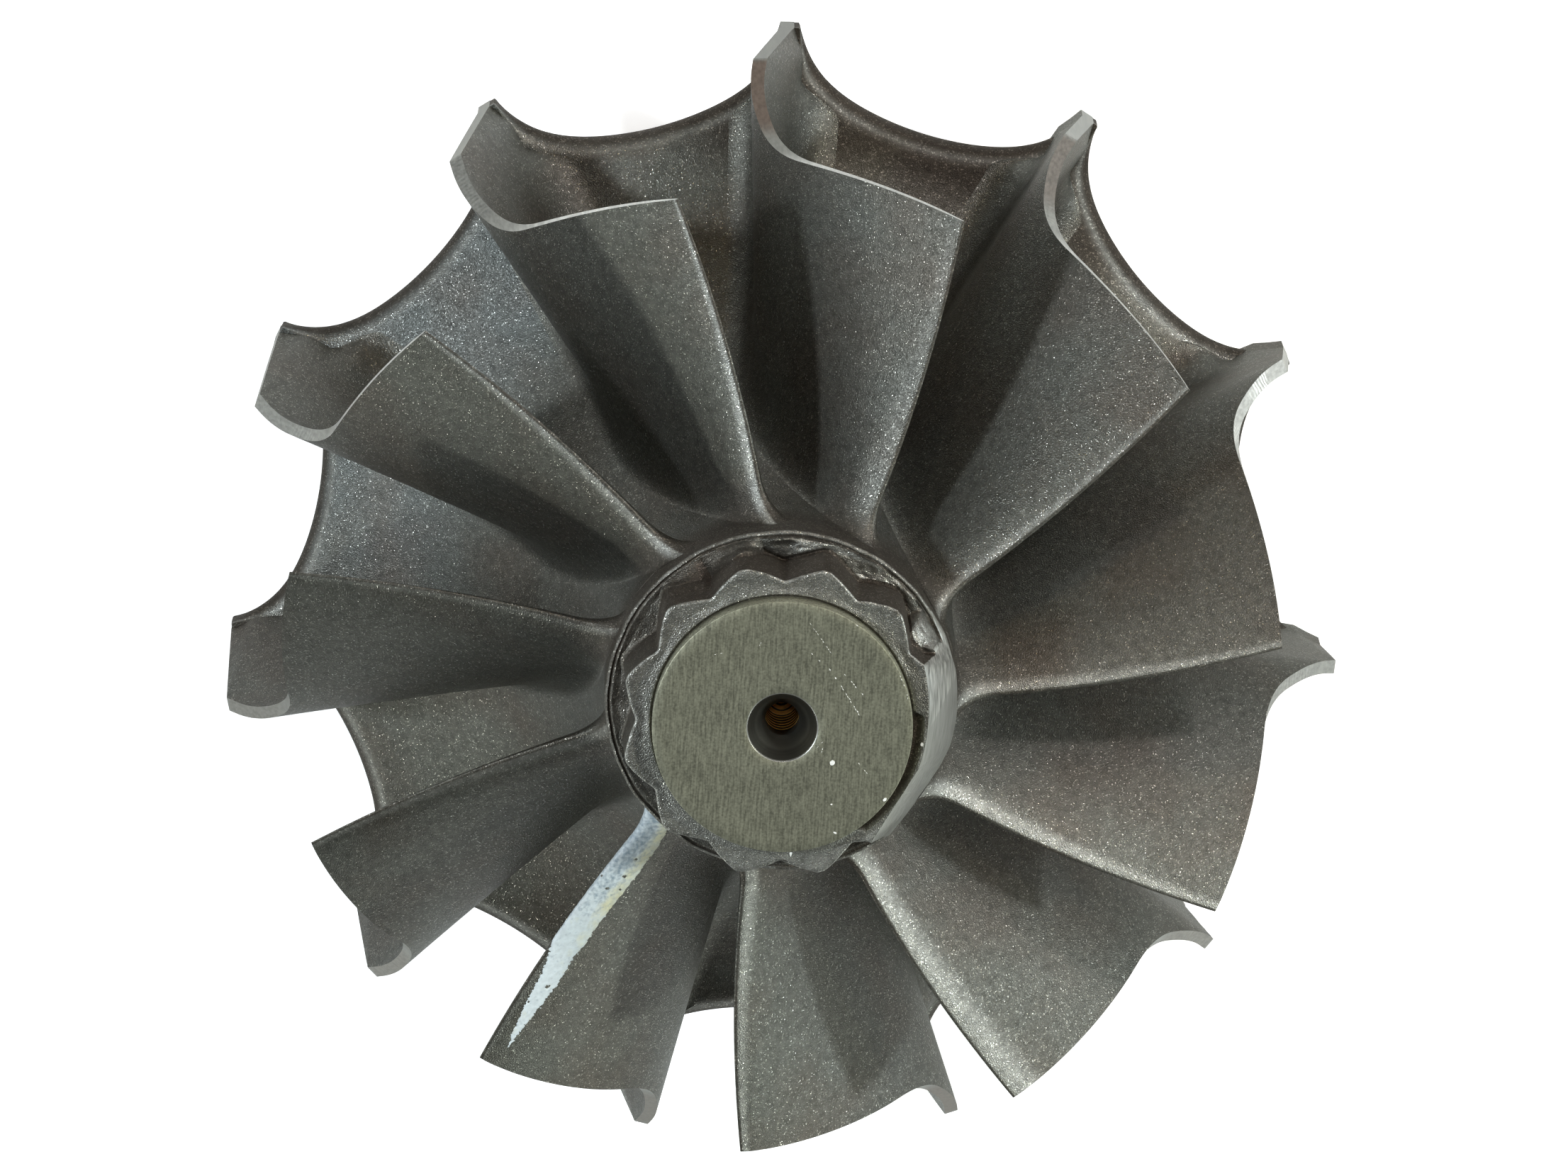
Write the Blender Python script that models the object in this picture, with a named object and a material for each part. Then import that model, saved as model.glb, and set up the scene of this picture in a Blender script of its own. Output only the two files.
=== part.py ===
"""Radial-inflow turbine wheel of a turbocharger, cast with eleven blades.

Metres, +Z up. The wheel's axis is Z, with the nose up, and the origin is the centre of the flat
weld face at the back, on which the wheel rests. The real wheel is one casting: the pieces below
are its regions, each a solid of its own with a hair gap to its neighbour.
"""

import math

import bmesh
import bpy
from mathutils import Matrix, Vector

# Driving dimensions
BLADE_COUNT = 11
INDUCER_RADIUS = 0.0430
INDUCER_HEIGHT = 0.0140
EXDUCER_RADIUS = 0.0373
EXDUCER_HEIGHT = 0.0333
BACK_PLANE = 0.0110
NOSE_HEIGHT = 0.0460
HAIR_GAP = 0.0003

# Hub contour: a quarter ellipse from the rim of the disc up to the collar
HUB_RADIUS = 0.0130
HUB_FOOT = 0.0022
HUB_TOP = 0.0368
HUB_FRONT = 0.0362
CORE_RADIUS = 0.0180

# Shroud contour: a flank that leans in from the inducer, an arc, and a cylinder
FLANK_ANGLE = math.radians(52.0)
SHROUD_ARC = 0.0080

# Blade: angle of its centre line against height, and thickness from hub to shroud
LEAN = -0.184
WRAP_START = 0.0148
WRAP_SQUARE = 2.94
WRAP_CUBE = -0.79
TRAILING_SLANT = 0.0024
FIRST_BLADE = math.radians(-55.2)
ROOT_THICKNESS = 0.0024
TIP_THICKNESS = 0.00105
TRAILING_TIP_THICKNESS = 0.0006
THINNING_POWER = 0.8
ROOT_FILLET = 0.0026
FILLET_FULLNESS = 0.8
TAPER_START = 0.92
TAPER_DEPTH = 0.45

# Flare of the hub, and the back disc around it, scalloped between the blades
FLARE_RADIUS = 0.0275
RIM_THICKNESS = 0.0020
SCALLOP_RADIUS = 0.03625
SCALLOP_BOW = 0.86
SCALLOP_SHOULDER = 150.0
BACK_CONE_DEPTH = 0.0052
BACK_CONE_START = 0.0400
BACK_CONE_POWER = 1.7

# Weld boss at the back, and the core's shoulder above it
BOSS_RADIUS = 0.0126
BOSS_TOP = 0.0052
BOSS_CHAMFER = 0.0005
BOSS_SHOULDER = 0.0022
RECESS_RADIUS = 0.0068
RECESS_DEPTH = 0.0036
RECESS_TAPER = 0.0008

# Nose: collar with a raised rim, twelve-point drive and machined end
COLLAR_TOP = 0.0393
COLLAR_SINK = 0.0004
COLLAR_STEP = 0.0006
RIM_WIDTH = 0.0007
RIM_DROP = 0.0005
POINTS = 12
POINT_RADIUS = 0.0119
VALLEY_RADIUS = 0.0108
POINT_PHASE = math.radians(-72.4)
DRIVE_TOP = 0.0445
DRIVE_CHAMFER = 0.0004
END_RADIUS = 0.0095
END_CHAMFER = 0.0002
CENTRE_MOUTH = 0.0027
CENTRE_PILOT = 0.00125
CENTRE_DEPTH = 0.0075
CENTRE_HALF_ANGLE = math.radians(30.0)
DRILL_TIP_ANGLE = math.radians(31.0)

# Crescent ground off the nose for balance: part of a cone whose axis is off the wheel's axis
GRIND_ANGLE = math.radians(170.5)
GRIND_OFFSET = 0.0042
GRIND_TOP_RADIUS = 0.0148
GRIND_FOOT_RADIUS = 0.0175
GRIND_FOOT = 0.0372
GRIND_REACH = 0.0220
CUTTER_CLEAR = 0.0030

# Fineness of the meshes. Shares are of a pitch, of the root's fillet and of a blade's span.
RIM_SHARES = (0.0, 0.023, 0.05, 0.10, 0.18, 0.32)
FILLET_ROWS = (0.0, 0.12, 0.40, 1.0)
UPPER_ROWS = (0.40, 0.72, 1.0)
BLADE_STATIONS = 13
DISC_STATIONS = 4
FLARE_STATIONS = 5
CORE_STATIONS = 10
SOLE_STEPS = 4
ARC_STEPS = 10
PATH_STEPS = 64
SOLVER_STEPS = 40
TURNED_STEPS = 55
HOLE_STEPS = 20

PITCH = 2 * math.pi / BLADE_COUNT


def clear_scene():
    for thing in list(bpy.data.objects):
        bpy.data.objects.remove(thing, do_unlink=True)


def finish(name, colour, roughness, metallic=1.0):
    """A plain material for one sub-part."""
    material = bpy.data.materials.new(name)
    material.use_nodes = True
    shader = material.node_tree.nodes["Principled BSDF"]
    shader.inputs["Base Color"].default_value = (*colour, 1.0)
    shader.inputs["Roughness"].default_value = roughness
    shader.inputs["Metallic"].default_value = metallic
    return material


def to_object(name, mesh_maker, material, parent=None, smooth_angle=math.radians(40)):
    """Turns a bmesh into a named object, shaded smooth up to the given angle."""
    bmesh.ops.recalc_face_normals(mesh_maker, faces=mesh_maker.faces)
    mesh = bpy.data.meshes.new(name)
    mesh_maker.to_mesh(mesh)
    mesh_maker.free()
    mesh.shade_smooth()
    mesh.set_sharp_from_angle(angle=smooth_angle)
    piece = bpy.data.objects.new(name, mesh)
    piece.parent = parent
    bpy.context.scene.collection.objects.link(piece)
    if material:
        mesh.materials.append(material)
    return piece


def turned(outline, steps):
    """Spins a closed outline of (radius, height) points about Z. No edge is made along the axis."""
    maker = bmesh.new()
    corners = [maker.verts.new((radius, 0.0, height)) for radius, height in outline]
    edges = []
    for start, end in zip(corners, corners[1:] + corners[:1]):
        if start.co.x > 0 or end.co.x > 0:
            edges.append(maker.edges.new((start, end)))
    bmesh.ops.spin(
        maker, geom=corners + edges, cent=(0, 0, 0), axis=(0, 0, 1),
        angle=2 * math.pi, steps=steps, use_merge=True,
    )
    bmesh.ops.remove_doubles(maker, verts=maker.verts, dist=1e-6)
    return maker


def hub_arc(turn, lift=0.0):
    """(radius, height) on the hub contour. turn runs from 0 at the rim to 90 degrees at the collar."""
    across = INDUCER_RADIUS - HUB_RADIUS
    up = HUB_TOP - HUB_FOOT
    radius = INDUCER_RADIUS - across * math.sin(turn)
    height = HUB_TOP - up * math.cos(turn)
    outward = Vector((up * math.sin(turn), across * math.cos(turn))).normalized()
    return radius + lift * outward.x, BACK_PLANE + height + lift * outward.y


def back_height(radius):
    """Height of the disc's back face, flat near the rim and falling towards the weld boss."""
    share = max(0.0, (BACK_CONE_START - radius) / (BACK_CONE_START - BOSS_RADIUS))
    return BACK_PLANE - BACK_CONE_DEPTH * share ** BACK_CONE_POWER


def wrap(height):
    """Angle of a blade's centre line at a height, measured from its foot."""
    above = height - BACK_PLANE
    past = max(0.0, above - WRAP_START) / INDUCER_RADIUS
    return LEAN * above / INDUCER_RADIUS + WRAP_SQUARE * past ** 2 + WRAP_CUBE * past ** 3


def wrap_slope(height):
    """Change of the blade's angle with height, in radians per metre."""
    step = 1e-5
    return (wrap(height + step) - wrap(height - step)) / (2 * step)


def shroud_path():
    """Points from the inducer's front corner to the tip of the trailing edge."""
    corner_height = INDUCER_HEIGHT + (INDUCER_RADIUS - EXDUCER_RADIUS) * math.tan(FLANK_ANGLE)
    turn = math.pi / 2 - FLANK_ANGLE
    tangent = SHROUD_ARC * math.tan(turn / 2)
    centre = (EXDUCER_RADIUS + SHROUD_ARC, corner_height + tangent)
    points = [(INDUCER_RADIUS, INDUCER_HEIGHT)]
    for step in range(ARC_STEPS + 1):
        angle = math.pi + turn * (1 - step / ARC_STEPS)
        points.append(
            (centre[0] + SHROUD_ARC * math.cos(angle), centre[1] + SHROUD_ARC * math.sin(angle))
        )
    points.append((EXDUCER_RADIUS, EXDUCER_HEIGHT))
    return [(radius, BACK_PLANE + height) for radius, height in points]


def hub_path():
    """Points just above the hub contour, from the rim to the root of the trailing edge."""
    last = math.acos((HUB_TOP - trailing_root_height()) / (HUB_TOP - HUB_FOOT))
    return [hub_arc(last * step / PATH_STEPS, HAIR_GAP) for step in range(PATH_STEPS + 1)]


def trailing_root_height():
    return EXDUCER_HEIGHT + TRAILING_SLANT


def along(path, share):
    """The point at a share of a path's length."""
    lengths = [math.dist(a, b) for a, b in zip(path, path[1:])]
    left = share * sum(lengths)
    for start, end, length in zip(path, path[1:], lengths):
        if left <= length:
            return Vector(start).lerp(Vector(end), left / length)
        left -= length
    return Vector(path[-1])


def half_width(radius, height, share_along, share_up, depth):
    """Half the blade's width along the circle through a point, fillet at the root included.

    depth is the distance from the hub along the blade.
    """
    tip = TIP_THICKNESS + (TRAILING_TIP_THICKNESS - TIP_THICKNESS) * share_along
    normal = ROOT_THICKNESS + (tip - ROOT_THICKNESS) * share_up ** THINNING_POWER
    if depth < ROOT_FILLET:
        rise = 1 - depth / ROOT_FILLET
        normal += 2 * FILLET_FULLNESS * ROOT_FILLET * (1 - math.sqrt(1 - rise ** 2))
    normal *= trailing_taper(share_along)
    half = 0.5 * normal * math.hypot(1.0, radius * wrap_slope(height))
    return min(half, max(TIP_THICKNESS / 2, foot_half_width(radius)))


def trailing_taper(share_along):
    """Narrows the blade over the last stretch before its trailing edge."""
    past = max(0.0, share_along - TAPER_START) / (1 - TAPER_START)
    return 1 - TAPER_DEPTH * past ** 2


def blade_rows(span):
    """Shares of the span at which a blade has a row of points, close together in the fillet."""
    return [row * ROOT_FILLET / span for row in FILLET_ROWS] + list(UPPER_ROWS)


def blade_column(maker, hub, shroud, share_along):
    """A ring of points round the blade: up its left side, down its right side and along its sole."""
    low, high = along(hub, share_along), along(shroud, share_along)
    span = (high - low).length

    def point(share_up, side):
        radius, height = low.lerp(high, share_up)
        half = half_width(radius, height, share_along, share_up, share_up * span) / radius
        angle = side * half - wrap(height)
        return maker.verts.new((radius * math.cos(angle), radius * math.sin(angle), height))

    rows = blade_rows(span)
    left = [point(share_up, 1) for share_up in rows]
    right = [point(share_up, -1) for share_up in reversed(rows)]
    sole = [point(0.0, 2 * k / SOLE_STEPS - 1) for k in range(1, SOLE_STEPS)]
    return left + right + sole


def blade(index, material, parent):
    """One blade: radial straight lines whose angle depends on height only."""
    maker = bmesh.new()
    hub, shroud = hub_path(), shroud_path()
    columns = [
        blade_column(maker, hub, shroud, station / (BLADE_STATIONS - 1))
        for station in range(BLADE_STATIONS)
    ]
    for here, there in zip(columns, columns[1:]):
        count = len(here)
        for k in range(count):
            after = (k + 1) % count
            maker.faces.new((here[k], there[k], there[after], here[after]))
    rows = len(blade_rows(1.0))
    for column in (columns[0], columns[-1]):
        left, right, sole = column[:rows], column[rows:2 * rows][::-1], column[2 * rows:]
        maker.faces.new([left[0], left[1], right[1], right[0]] + sole)
        for row in range(1, rows - 1):
            maker.faces.new((left[row], left[row + 1], right[row + 1], right[row]))
    bmesh.ops.triangulate(maker, faces=maker.faces)
    piece = to_object(f"blade_{index + 1:02d}", maker, material, parent, math.radians(50))
    piece.rotation_euler.z = FIRST_BLADE - index * PITCH
    return piece


def scallop_height(across):
    """Distance of the scalloped edge from the axis, measured along the middle of the gap."""
    share = across / INDUCER_RADIUS
    return SCALLOP_RADIUS + INDUCER_RADIUS * (SCALLOP_BOW * share ** 2 + SCALLOP_SHOULDER * share ** 6)


def rim_radius(angle):
    """Radius of the scalloped rim at an angle from a blade's foot."""
    off_middle = PITCH / 2 - abs((angle + PITCH / 2) % PITCH - PITCH / 2)
    radius = SCALLOP_RADIUS
    for _ in range(SOLVER_STEPS):
        radius = 0.5 * (radius + scallop_height(radius * math.sin(off_middle)) / math.cos(off_middle))
        radius = min(radius, INDUCER_RADIUS)
    return radius


def foot_half_width(radius):
    """Half the width of the disc's prong under a blade, along the circle at a radius."""
    if radius <= SCALLOP_RADIUS:
        return radius * PITCH / 2
    near, far = 0.0, PITCH / 2
    for _ in range(SOLVER_STEPS):
        middle = 0.5 * (near + far)
        if rim_radius(middle) > radius:
            near = middle
        else:
            far = middle
    return radius * near


def hub_turn(radius):
    """The turn at which the hub contour has a radius."""
    return math.asin((INDUCER_RADIUS - radius) / (INDUCER_RADIUS - HUB_RADIUS))


def front_face(inner, outer, stations):
    """(radius, height) points along the hub contour between two radii."""
    first, last = hub_turn(inner), hub_turn(outer)
    return [hub_arc(first + (last - first) * k / stations) for k in range(stations + 1)]


def disc_section(rim):
    """(radius, height) round the disc's section, from its inner edge over the rim and back."""
    inner = FLARE_RADIUS + HAIR_GAP
    half = RIM_THICKNESS / 2
    flat_end = rim - half
    front = front_face(inner, flat_end, DISC_STATIONS)
    nose = []
    for degrees in (60, 0, -60):
        reach = math.radians(degrees)
        nose.append((flat_end + half * math.cos(reach), BACK_PLANE + half + half * math.sin(reach)))
    back = []
    for k in range(DISC_STATIONS // 2 + 1):
        radius = flat_end + (inner - flat_end) * 2 * k / DISC_STATIONS
        back.append((radius, back_height(radius)))
    return front + nose + back


def back_disc(material, parent):
    """The disc behind the blades, a ring with a rounded, scalloped rim."""
    maker = bmesh.new()
    rings = []
    near = [PITCH * share for share in RIM_SHARES]
    pitch_angles = near + [PITCH / 2] + [PITCH - angle for angle in reversed(near[1:])]
    for angle in [PITCH * k + angle for k in range(BLADE_COUNT) for angle in pitch_angles]:
        turning = Matrix.Rotation(FIRST_BLADE + angle, 3, "Z")
        section = disc_section(rim_radius(angle))
        rings.append([maker.verts.new(turning @ Vector((r, 0, z))) for r, z in section])
    count = len(rings[0])
    for here, there in zip(rings, rings[1:] + rings[:1]):
        for k in range(count):
            after = (k + 1) % count
            maker.faces.new((here[k], here[after], there[after], there[k]))
    return to_object("back_disc", maker, material, parent)


def hub_flare(material, parent):
    """The ring in which the hub widens from the core to the back disc."""
    inner = CORE_RADIUS + HAIR_GAP
    middle = (inner + FLARE_RADIUS) / 2
    outline = front_face(inner, FLARE_RADIUS, FLARE_STATIONS)
    outline += [(radius, back_height(radius)) for radius in (FLARE_RADIUS, middle, inner)]
    return to_object("hub_flare", turned(outline, TURNED_STEPS), material, parent)


def hub_core(material, parent):
    """The turned core that carries the flare, the blades' roots and the nose."""
    lowest = BOSS_TOP + HAIR_GAP
    start = hub_turn(CORE_RADIUS)
    end = math.acos((HUB_TOP - HUB_FRONT) / (HUB_TOP - HUB_FOOT))
    outline = [(0.0, BACK_PLANE + HUB_FRONT)]
    for step in range(CORE_STATIONS, -1, -1):
        outline.append(hub_arc(start + (end - start) * step / CORE_STATIONS))
    shoulder = BOSS_RADIUS + BOSS_SHOULDER
    outline.append((CORE_RADIUS, back_height(CORE_RADIUS)))
    outline.append((shoulder, back_height(shoulder)))
    outline.append((BOSS_RADIUS, lowest))
    outline.append((0.0, lowest))
    return to_object("hub_core", turned(outline, TURNED_STEPS), material, parent)


def weld_boss(material, parent):
    """The short boss at the back, with the recess that faces a shaft."""
    outline = [
        (0.0, RECESS_DEPTH),
        (0.0, BOSS_TOP),
        (BOSS_RADIUS, BOSS_TOP),
        (BOSS_RADIUS, BOSS_CHAMFER),
        (BOSS_RADIUS - BOSS_CHAMFER, 0.0),
        (RECESS_RADIUS, 0.0),
        (RECESS_RADIUS - RECESS_TAPER, RECESS_DEPTH),
    ]
    return to_object("weld_boss", turned(outline, TURNED_STEPS), material, parent)


def grinding_cutter():
    """A ring whose inner side is a cone set off the axis, so that it takes a crescent off the nose."""
    slope = (GRIND_FOOT_RADIUS - GRIND_TOP_RADIUS) / (DRIVE_TOP - GRIND_FOOT)
    foot = BACK_PLANE + GRIND_FOOT
    top = BACK_PLANE + DRIVE_TOP + CUTTER_CLEAR
    outline = [
        (GRIND_FOOT_RADIUS, foot),
        (GRIND_REACH, foot),
        (GRIND_REACH, top),
        (GRIND_TOP_RADIUS - slope * CUTTER_CLEAR, top),
    ]
    cutter = to_object("grinding_cutter", turned(outline, TURNED_STEPS), None)
    cutter.location.x = -GRIND_OFFSET * math.cos(GRIND_ANGLE)
    cutter.location.y = -GRIND_OFFSET * math.sin(GRIND_ANGLE)
    return cutter


def centre_cutter():
    """The centre hole: a 60 degree countersink and a pilot with a drilled end."""
    mouth = BACK_PLANE + NOSE_HEIGHT
    sunk = (CENTRE_MOUTH - CENTRE_PILOT) / math.tan(CENTRE_HALF_ANGLE)
    drill_tip = CENTRE_PILOT * math.tan(DRILL_TIP_ANGLE)
    outline = [
        (0.0, mouth - CENTRE_DEPTH - drill_tip),
        (CENTRE_PILOT, mouth - CENTRE_DEPTH),
        (CENTRE_PILOT, mouth - sunk),
        (CENTRE_MOUTH + CUTTER_CLEAR * math.tan(CENTRE_HALF_ANGLE), mouth + CUTTER_CLEAR),
        (0.0, mouth + CUTTER_CLEAR),
    ]
    return to_object("centre_cutter", turned(outline, HOLE_STEPS), None)


def hide_cutter(cutter):
    cutter.hide_render = True
    cutter.display_type = "WIRE"


def cut(piece, cutter):
    """Cuts the cutter's shape out of a piece."""
    modifier = piece.modifiers.new(cutter.name, "BOOLEAN")
    modifier.operation = "DIFFERENCE"
    modifier.solver = "EXACT"
    modifier.object = cutter


def nose_collar(material, parent, grinding):
    """The round end of the hub, with a raised cast rim."""
    lowest = BACK_PLANE + HUB_FRONT + HAIR_GAP
    top = BACK_PLANE + COLLAR_TOP
    outline = [
        (0.0, lowest),
        (0.0, top - COLLAR_SINK),
        (VALLEY_RADIUS + COLLAR_STEP, top - COLLAR_SINK),
        (HUB_RADIUS - RIM_WIDTH, top),
        (HUB_RADIUS, top - RIM_DROP),
        (HUB_RADIUS, lowest),
    ]
    piece = to_object("nose_collar", turned(outline, TURNED_STEPS), material, parent)
    cut(piece, grinding)
    return piece


def twelve_point_drive(material, parent, grinding, centre):
    """The twelve-point boss that a socket turns."""
    maker = bmesh.new()
    lowest = BACK_PLANE + COLLAR_TOP - COLLAR_SINK + HAIR_GAP
    top = BACK_PLANE + DRIVE_TOP
    rings = []
    for shrink, height in ((0.0, lowest), (0.0, top - DRIVE_CHAMFER), (DRIVE_CHAMFER, top)):
        ring = []
        for corner in range(2 * POINTS):
            radius = (POINT_RADIUS if corner % 2 == 0 else VALLEY_RADIUS) - shrink
            angle = POINT_PHASE + math.pi * corner / POINTS
            ring.append(maker.verts.new((radius * math.cos(angle), radius * math.sin(angle), height)))
        rings.append(ring)
    maker.faces.new(reversed(rings[0]))
    maker.faces.new(rings[-1])
    for low, high in zip(rings, rings[1:]):
        for k in range(2 * POINTS):
            after = (k + 1) % (2 * POINTS)
            maker.faces.new((low[k], low[after], high[after], high[k]))
    piece = to_object("twelve_point_drive", maker, material, parent, math.radians(20))
    cut(piece, grinding)
    cut(piece, centre)
    return piece


def machined_end(material, parent, centre):
    """The turned end of the nose, with the mouth of the centre hole."""
    lowest = BACK_PLANE + DRIVE_TOP + HAIR_GAP
    top = BACK_PLANE + NOSE_HEIGHT
    outline = [
        (0.0, lowest),
        (0.0, top),
        (END_RADIUS - END_CHAMFER, top),
        (END_RADIUS, top - END_CHAMFER),
        (END_RADIUS, lowest),
    ]
    piece = to_object("machined_end", turned(outline, TURNED_STEPS), material, parent)
    cut(piece, centre)
    return piece


def build():
    clear_scene()
    wheel = bpy.data.objects.new("turbine_wheel", None)
    bpy.context.scene.collection.objects.link(wheel)
    blade_finish = finish("cast_blade", (0.105, 0.105, 0.095), 0.45)
    disc_finish = finish("cast_disc", (0.100, 0.106, 0.100), 0.45)
    hub_finish = finish("cast_hub", (0.085, 0.083, 0.075), 0.50)
    boss_finish = finish("turned_boss", (0.300, 0.290, 0.270), 0.35)
    collar_finish = finish("cast_collar", (0.120, 0.115, 0.105), 0.50)
    drive_finish = finish("cast_drive", (0.140, 0.140, 0.130), 0.45)
    end_finish = finish("machined_face", (0.200, 0.195, 0.165), 0.35)
    grinding = grinding_cutter()
    centre = centre_cutter()
    hub_core(hub_finish, wheel)
    hub_flare(hub_finish, wheel)
    back_disc(disc_finish, wheel)
    weld_boss(boss_finish, wheel)
    for index in range(BLADE_COUNT):
        blade(index, blade_finish, wheel)
    nose_collar(collar_finish, wheel, grinding)
    twelve_point_drive(drive_finish, wheel, grinding, centre)
    machined_end(end_finish, wheel, centre)
    hide_cutter(grinding)
    hide_cutter(centre)


build()
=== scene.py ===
"""Turbine wheel of a turbocharger: the cast, turned and ground surfaces around its solids.

Metres, +Z up. The wheel's axis is Z, the nose is up and the weld face lies on the floor.
"""

import math

import bmesh
import bpy
import numpy as np
from mathutils import Matrix, Vector, noise


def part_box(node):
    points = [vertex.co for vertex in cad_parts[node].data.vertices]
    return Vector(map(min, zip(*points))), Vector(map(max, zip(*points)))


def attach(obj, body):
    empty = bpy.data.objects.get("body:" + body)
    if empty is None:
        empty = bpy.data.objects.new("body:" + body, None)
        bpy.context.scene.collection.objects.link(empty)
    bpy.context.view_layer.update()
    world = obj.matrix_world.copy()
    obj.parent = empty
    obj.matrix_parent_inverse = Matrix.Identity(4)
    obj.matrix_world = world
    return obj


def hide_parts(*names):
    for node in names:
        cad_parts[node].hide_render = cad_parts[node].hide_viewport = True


bl_info = {
    "name": "Turbine Wheel",
    "version": (1, 0, 0),
    "blender": (4, 5, 0),
    "location": "View3D > Sidebar > Turbine Wheel",
    "description": "Casts, turns and grinds the surfaces of a turbocharger's turbine wheel",
    "category": "Add Mesh",
}

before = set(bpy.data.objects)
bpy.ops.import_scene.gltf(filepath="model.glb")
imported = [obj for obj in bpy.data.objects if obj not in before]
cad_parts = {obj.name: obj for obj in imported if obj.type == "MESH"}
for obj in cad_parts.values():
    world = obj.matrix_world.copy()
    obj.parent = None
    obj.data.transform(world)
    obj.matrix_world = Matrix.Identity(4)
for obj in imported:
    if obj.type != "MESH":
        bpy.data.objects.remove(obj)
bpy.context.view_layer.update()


def reach(node):
    """Largest radius of a solid about the wheel's axis."""
    return max(math.hypot(v.co.x, v.co.y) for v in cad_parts[node].data.vertices)


# Sizes that come from the solids
BLADE_COUNT = sum(name.startswith("blade_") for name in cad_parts)
PITCH = 2 * math.pi / BLADE_COUNT
WHEEL_RADIUS = reach("back_disc")
HUB_RADIUS = reach("nose_collar")
COLLAR_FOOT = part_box("hub_core")[1].z
COLLAR_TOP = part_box("nose_collar")[1].z
POINT_RADIUS = reach("twelve_point_drive")
DRIVE_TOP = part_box("twelve_point_drive")[1].z
END_RADIUS = reach("machined_end")
NOSE_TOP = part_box("machined_end")[1].z
BOSS_RADIUS = reach("weld_boss")
BOSS_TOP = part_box("weld_boss")[1].z

# Contours of the hub and the shroud
BACK_PLANE = 0.0110
INDUCER_HEIGHT = 0.0140
EXDUCER_RADIUS = 0.0373
EXDUCER_HEIGHT = 0.0333
TRAILING_SLANT = 0.0024
HUB_FOOT = 0.0022
HUB_CREST = 0.0368
FLANK_ANGLE = math.radians(52.0)
SHROUD_ARC = 0.0080

# The blades' centre line: its angle about the axis against its height
LEAN = -0.184
WRAP_START = 0.0148
WRAP_SQUARE = 2.94
WRAP_CUBE = -0.79
FIRST_BLADE = math.radians(-55.2)

# Scallops of the back disc, and the fall of its back towards the weld boss
SCALLOP_RADIUS = 0.03625
SCALLOP_BOW = 0.86
SCALLOP_SHOULDER = 150.0
BACK_CONE_START = 0.0400
BACK_CONE_DEPTH = 0.0052
BACK_CONE_POWER = 1.7
FLARE_RADIUS = 0.0275

# Twelve-point drive
POINTS = 12
POINT_PHASE = math.radians(-72.4)

# Crescent ground off the nose
GRIND_ANGLE = math.radians(170.5)
GRIND_OFFSET = 0.0042
GRIND_TOP_RADIUS = 0.0148
GRIND_FOOT_RADIUS = 0.0175
GRIND_FOOT = 0.0482
GRIND_REACH = 0.0220

# Flats ground beside the crescent: direction of each, its distance from the axis at the drive's
# top, and how much further out it lies for each metre down
GRIND_FLATS = ((math.radians(-153.4), 0.01118, 0.292), (math.radians(152.0), 0.01040, 0.340))
# How far the metal that runs over the drive's points leans in by the drive's top
FILL_LEAN = 0.0006
# Plane that parts the crescent's upper flat, which is painted lighter, from the rest
FACET_NORMAL = (0.0, -0.895, 0.446)
FACET_PLACE = 0.02442

# Centre hole
CENTRE_MOUTH = 0.00257
CENTRE_PILOT = 0.00125
CENTRE_DEPTH = 0.0075
CENTRE_HALF_ANGLE = math.radians(30.0)
DRILL_HALF_ANGLE = math.radians(59.0)

# Hairs that keep neighbouring surfaces from lying in one plane
TUCK = 0.00003
FOOT_TUCK = 0.000003


def length(name, description, default):
    return bpy.props.FloatProperty(
        name=name, description=description, default=default, min=0.0, unit="LENGTH", precision=5
    )


def colour(name, description, default):
    return bpy.props.FloatVectorProperty(
        name=name, description=description, default=default, size=3, min=0.0, max=1.0, subtype="COLOR"
    )


def share(name, description, default, high=1.0):
    return bpy.props.FloatProperty(
        name=name, description=description, default=default, min=0.0, max=high, subtype="FACTOR"
    )


class BladeSettings(bpy.types.PropertyGroup):
    """Thickness and edges of the blades."""

    root_thickness: length("Root thickness", "Thickness where the blade leaves the hub", 0.0024)
    tip_thickness: length("Tip thickness", "Thickness at the inducer's tip", 0.00105)
    trailing_thickness: length("Trailing tip", "Thickness at the tip of the trailing edge", 0.0006)
    nose_fillet: length(
        "Fillet at the nose", "Height of the fillet between blade and hub at the nose", 0.0030
    )
    rim_fillet: length("Fillet at the rim", "Height of the fillet between blade and disc at the rim", 0.0042)
    foot_flare: length("Foot flare", "How far the fillet runs on past the trailing edge", 0.0017)
    root_edge: length("Edge at the root", "Length of the trailing edge's rounding at the hub", 0.0016)
    tip_edge: length("Edge at the tip", "Length of the trailing edge's rounding at the tip", 0.0004)


class DiscSettings(bpy.types.PropertyGroup):
    """Rim of the back disc."""

    rim_rounding: length("Rim rounding", "How far in from the scallops the rim is rounded", 0.0017)


class NoseSettings(bpy.types.PropertyGroup):
    """Collar, twelve-point drive and machined end."""

    valley_radius: length("Valley radius", "Radius of the drive's valleys", 0.01065)
    bluntness: share("Bluntness", "Share of each flank that is rounded at its point and its valley", 0.09)
    edge_rounding: length("Edge rounding", "Rounding of the drive's top edge", 0.00016)
    foot_fillet: length("Foot fillet", "Fillet between the drive's wall and its ledge", 0.00035)
    rim_groove: length("Rim groove", "Depth of the groove along the collar's rim", 0.00014)
    torn_height: length("Torn metal", "Height of the torn metal on the ledge", 0.00018)
    end_groove: length("End groove", "Depth of the groove round the machined end", 0.00009)


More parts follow.
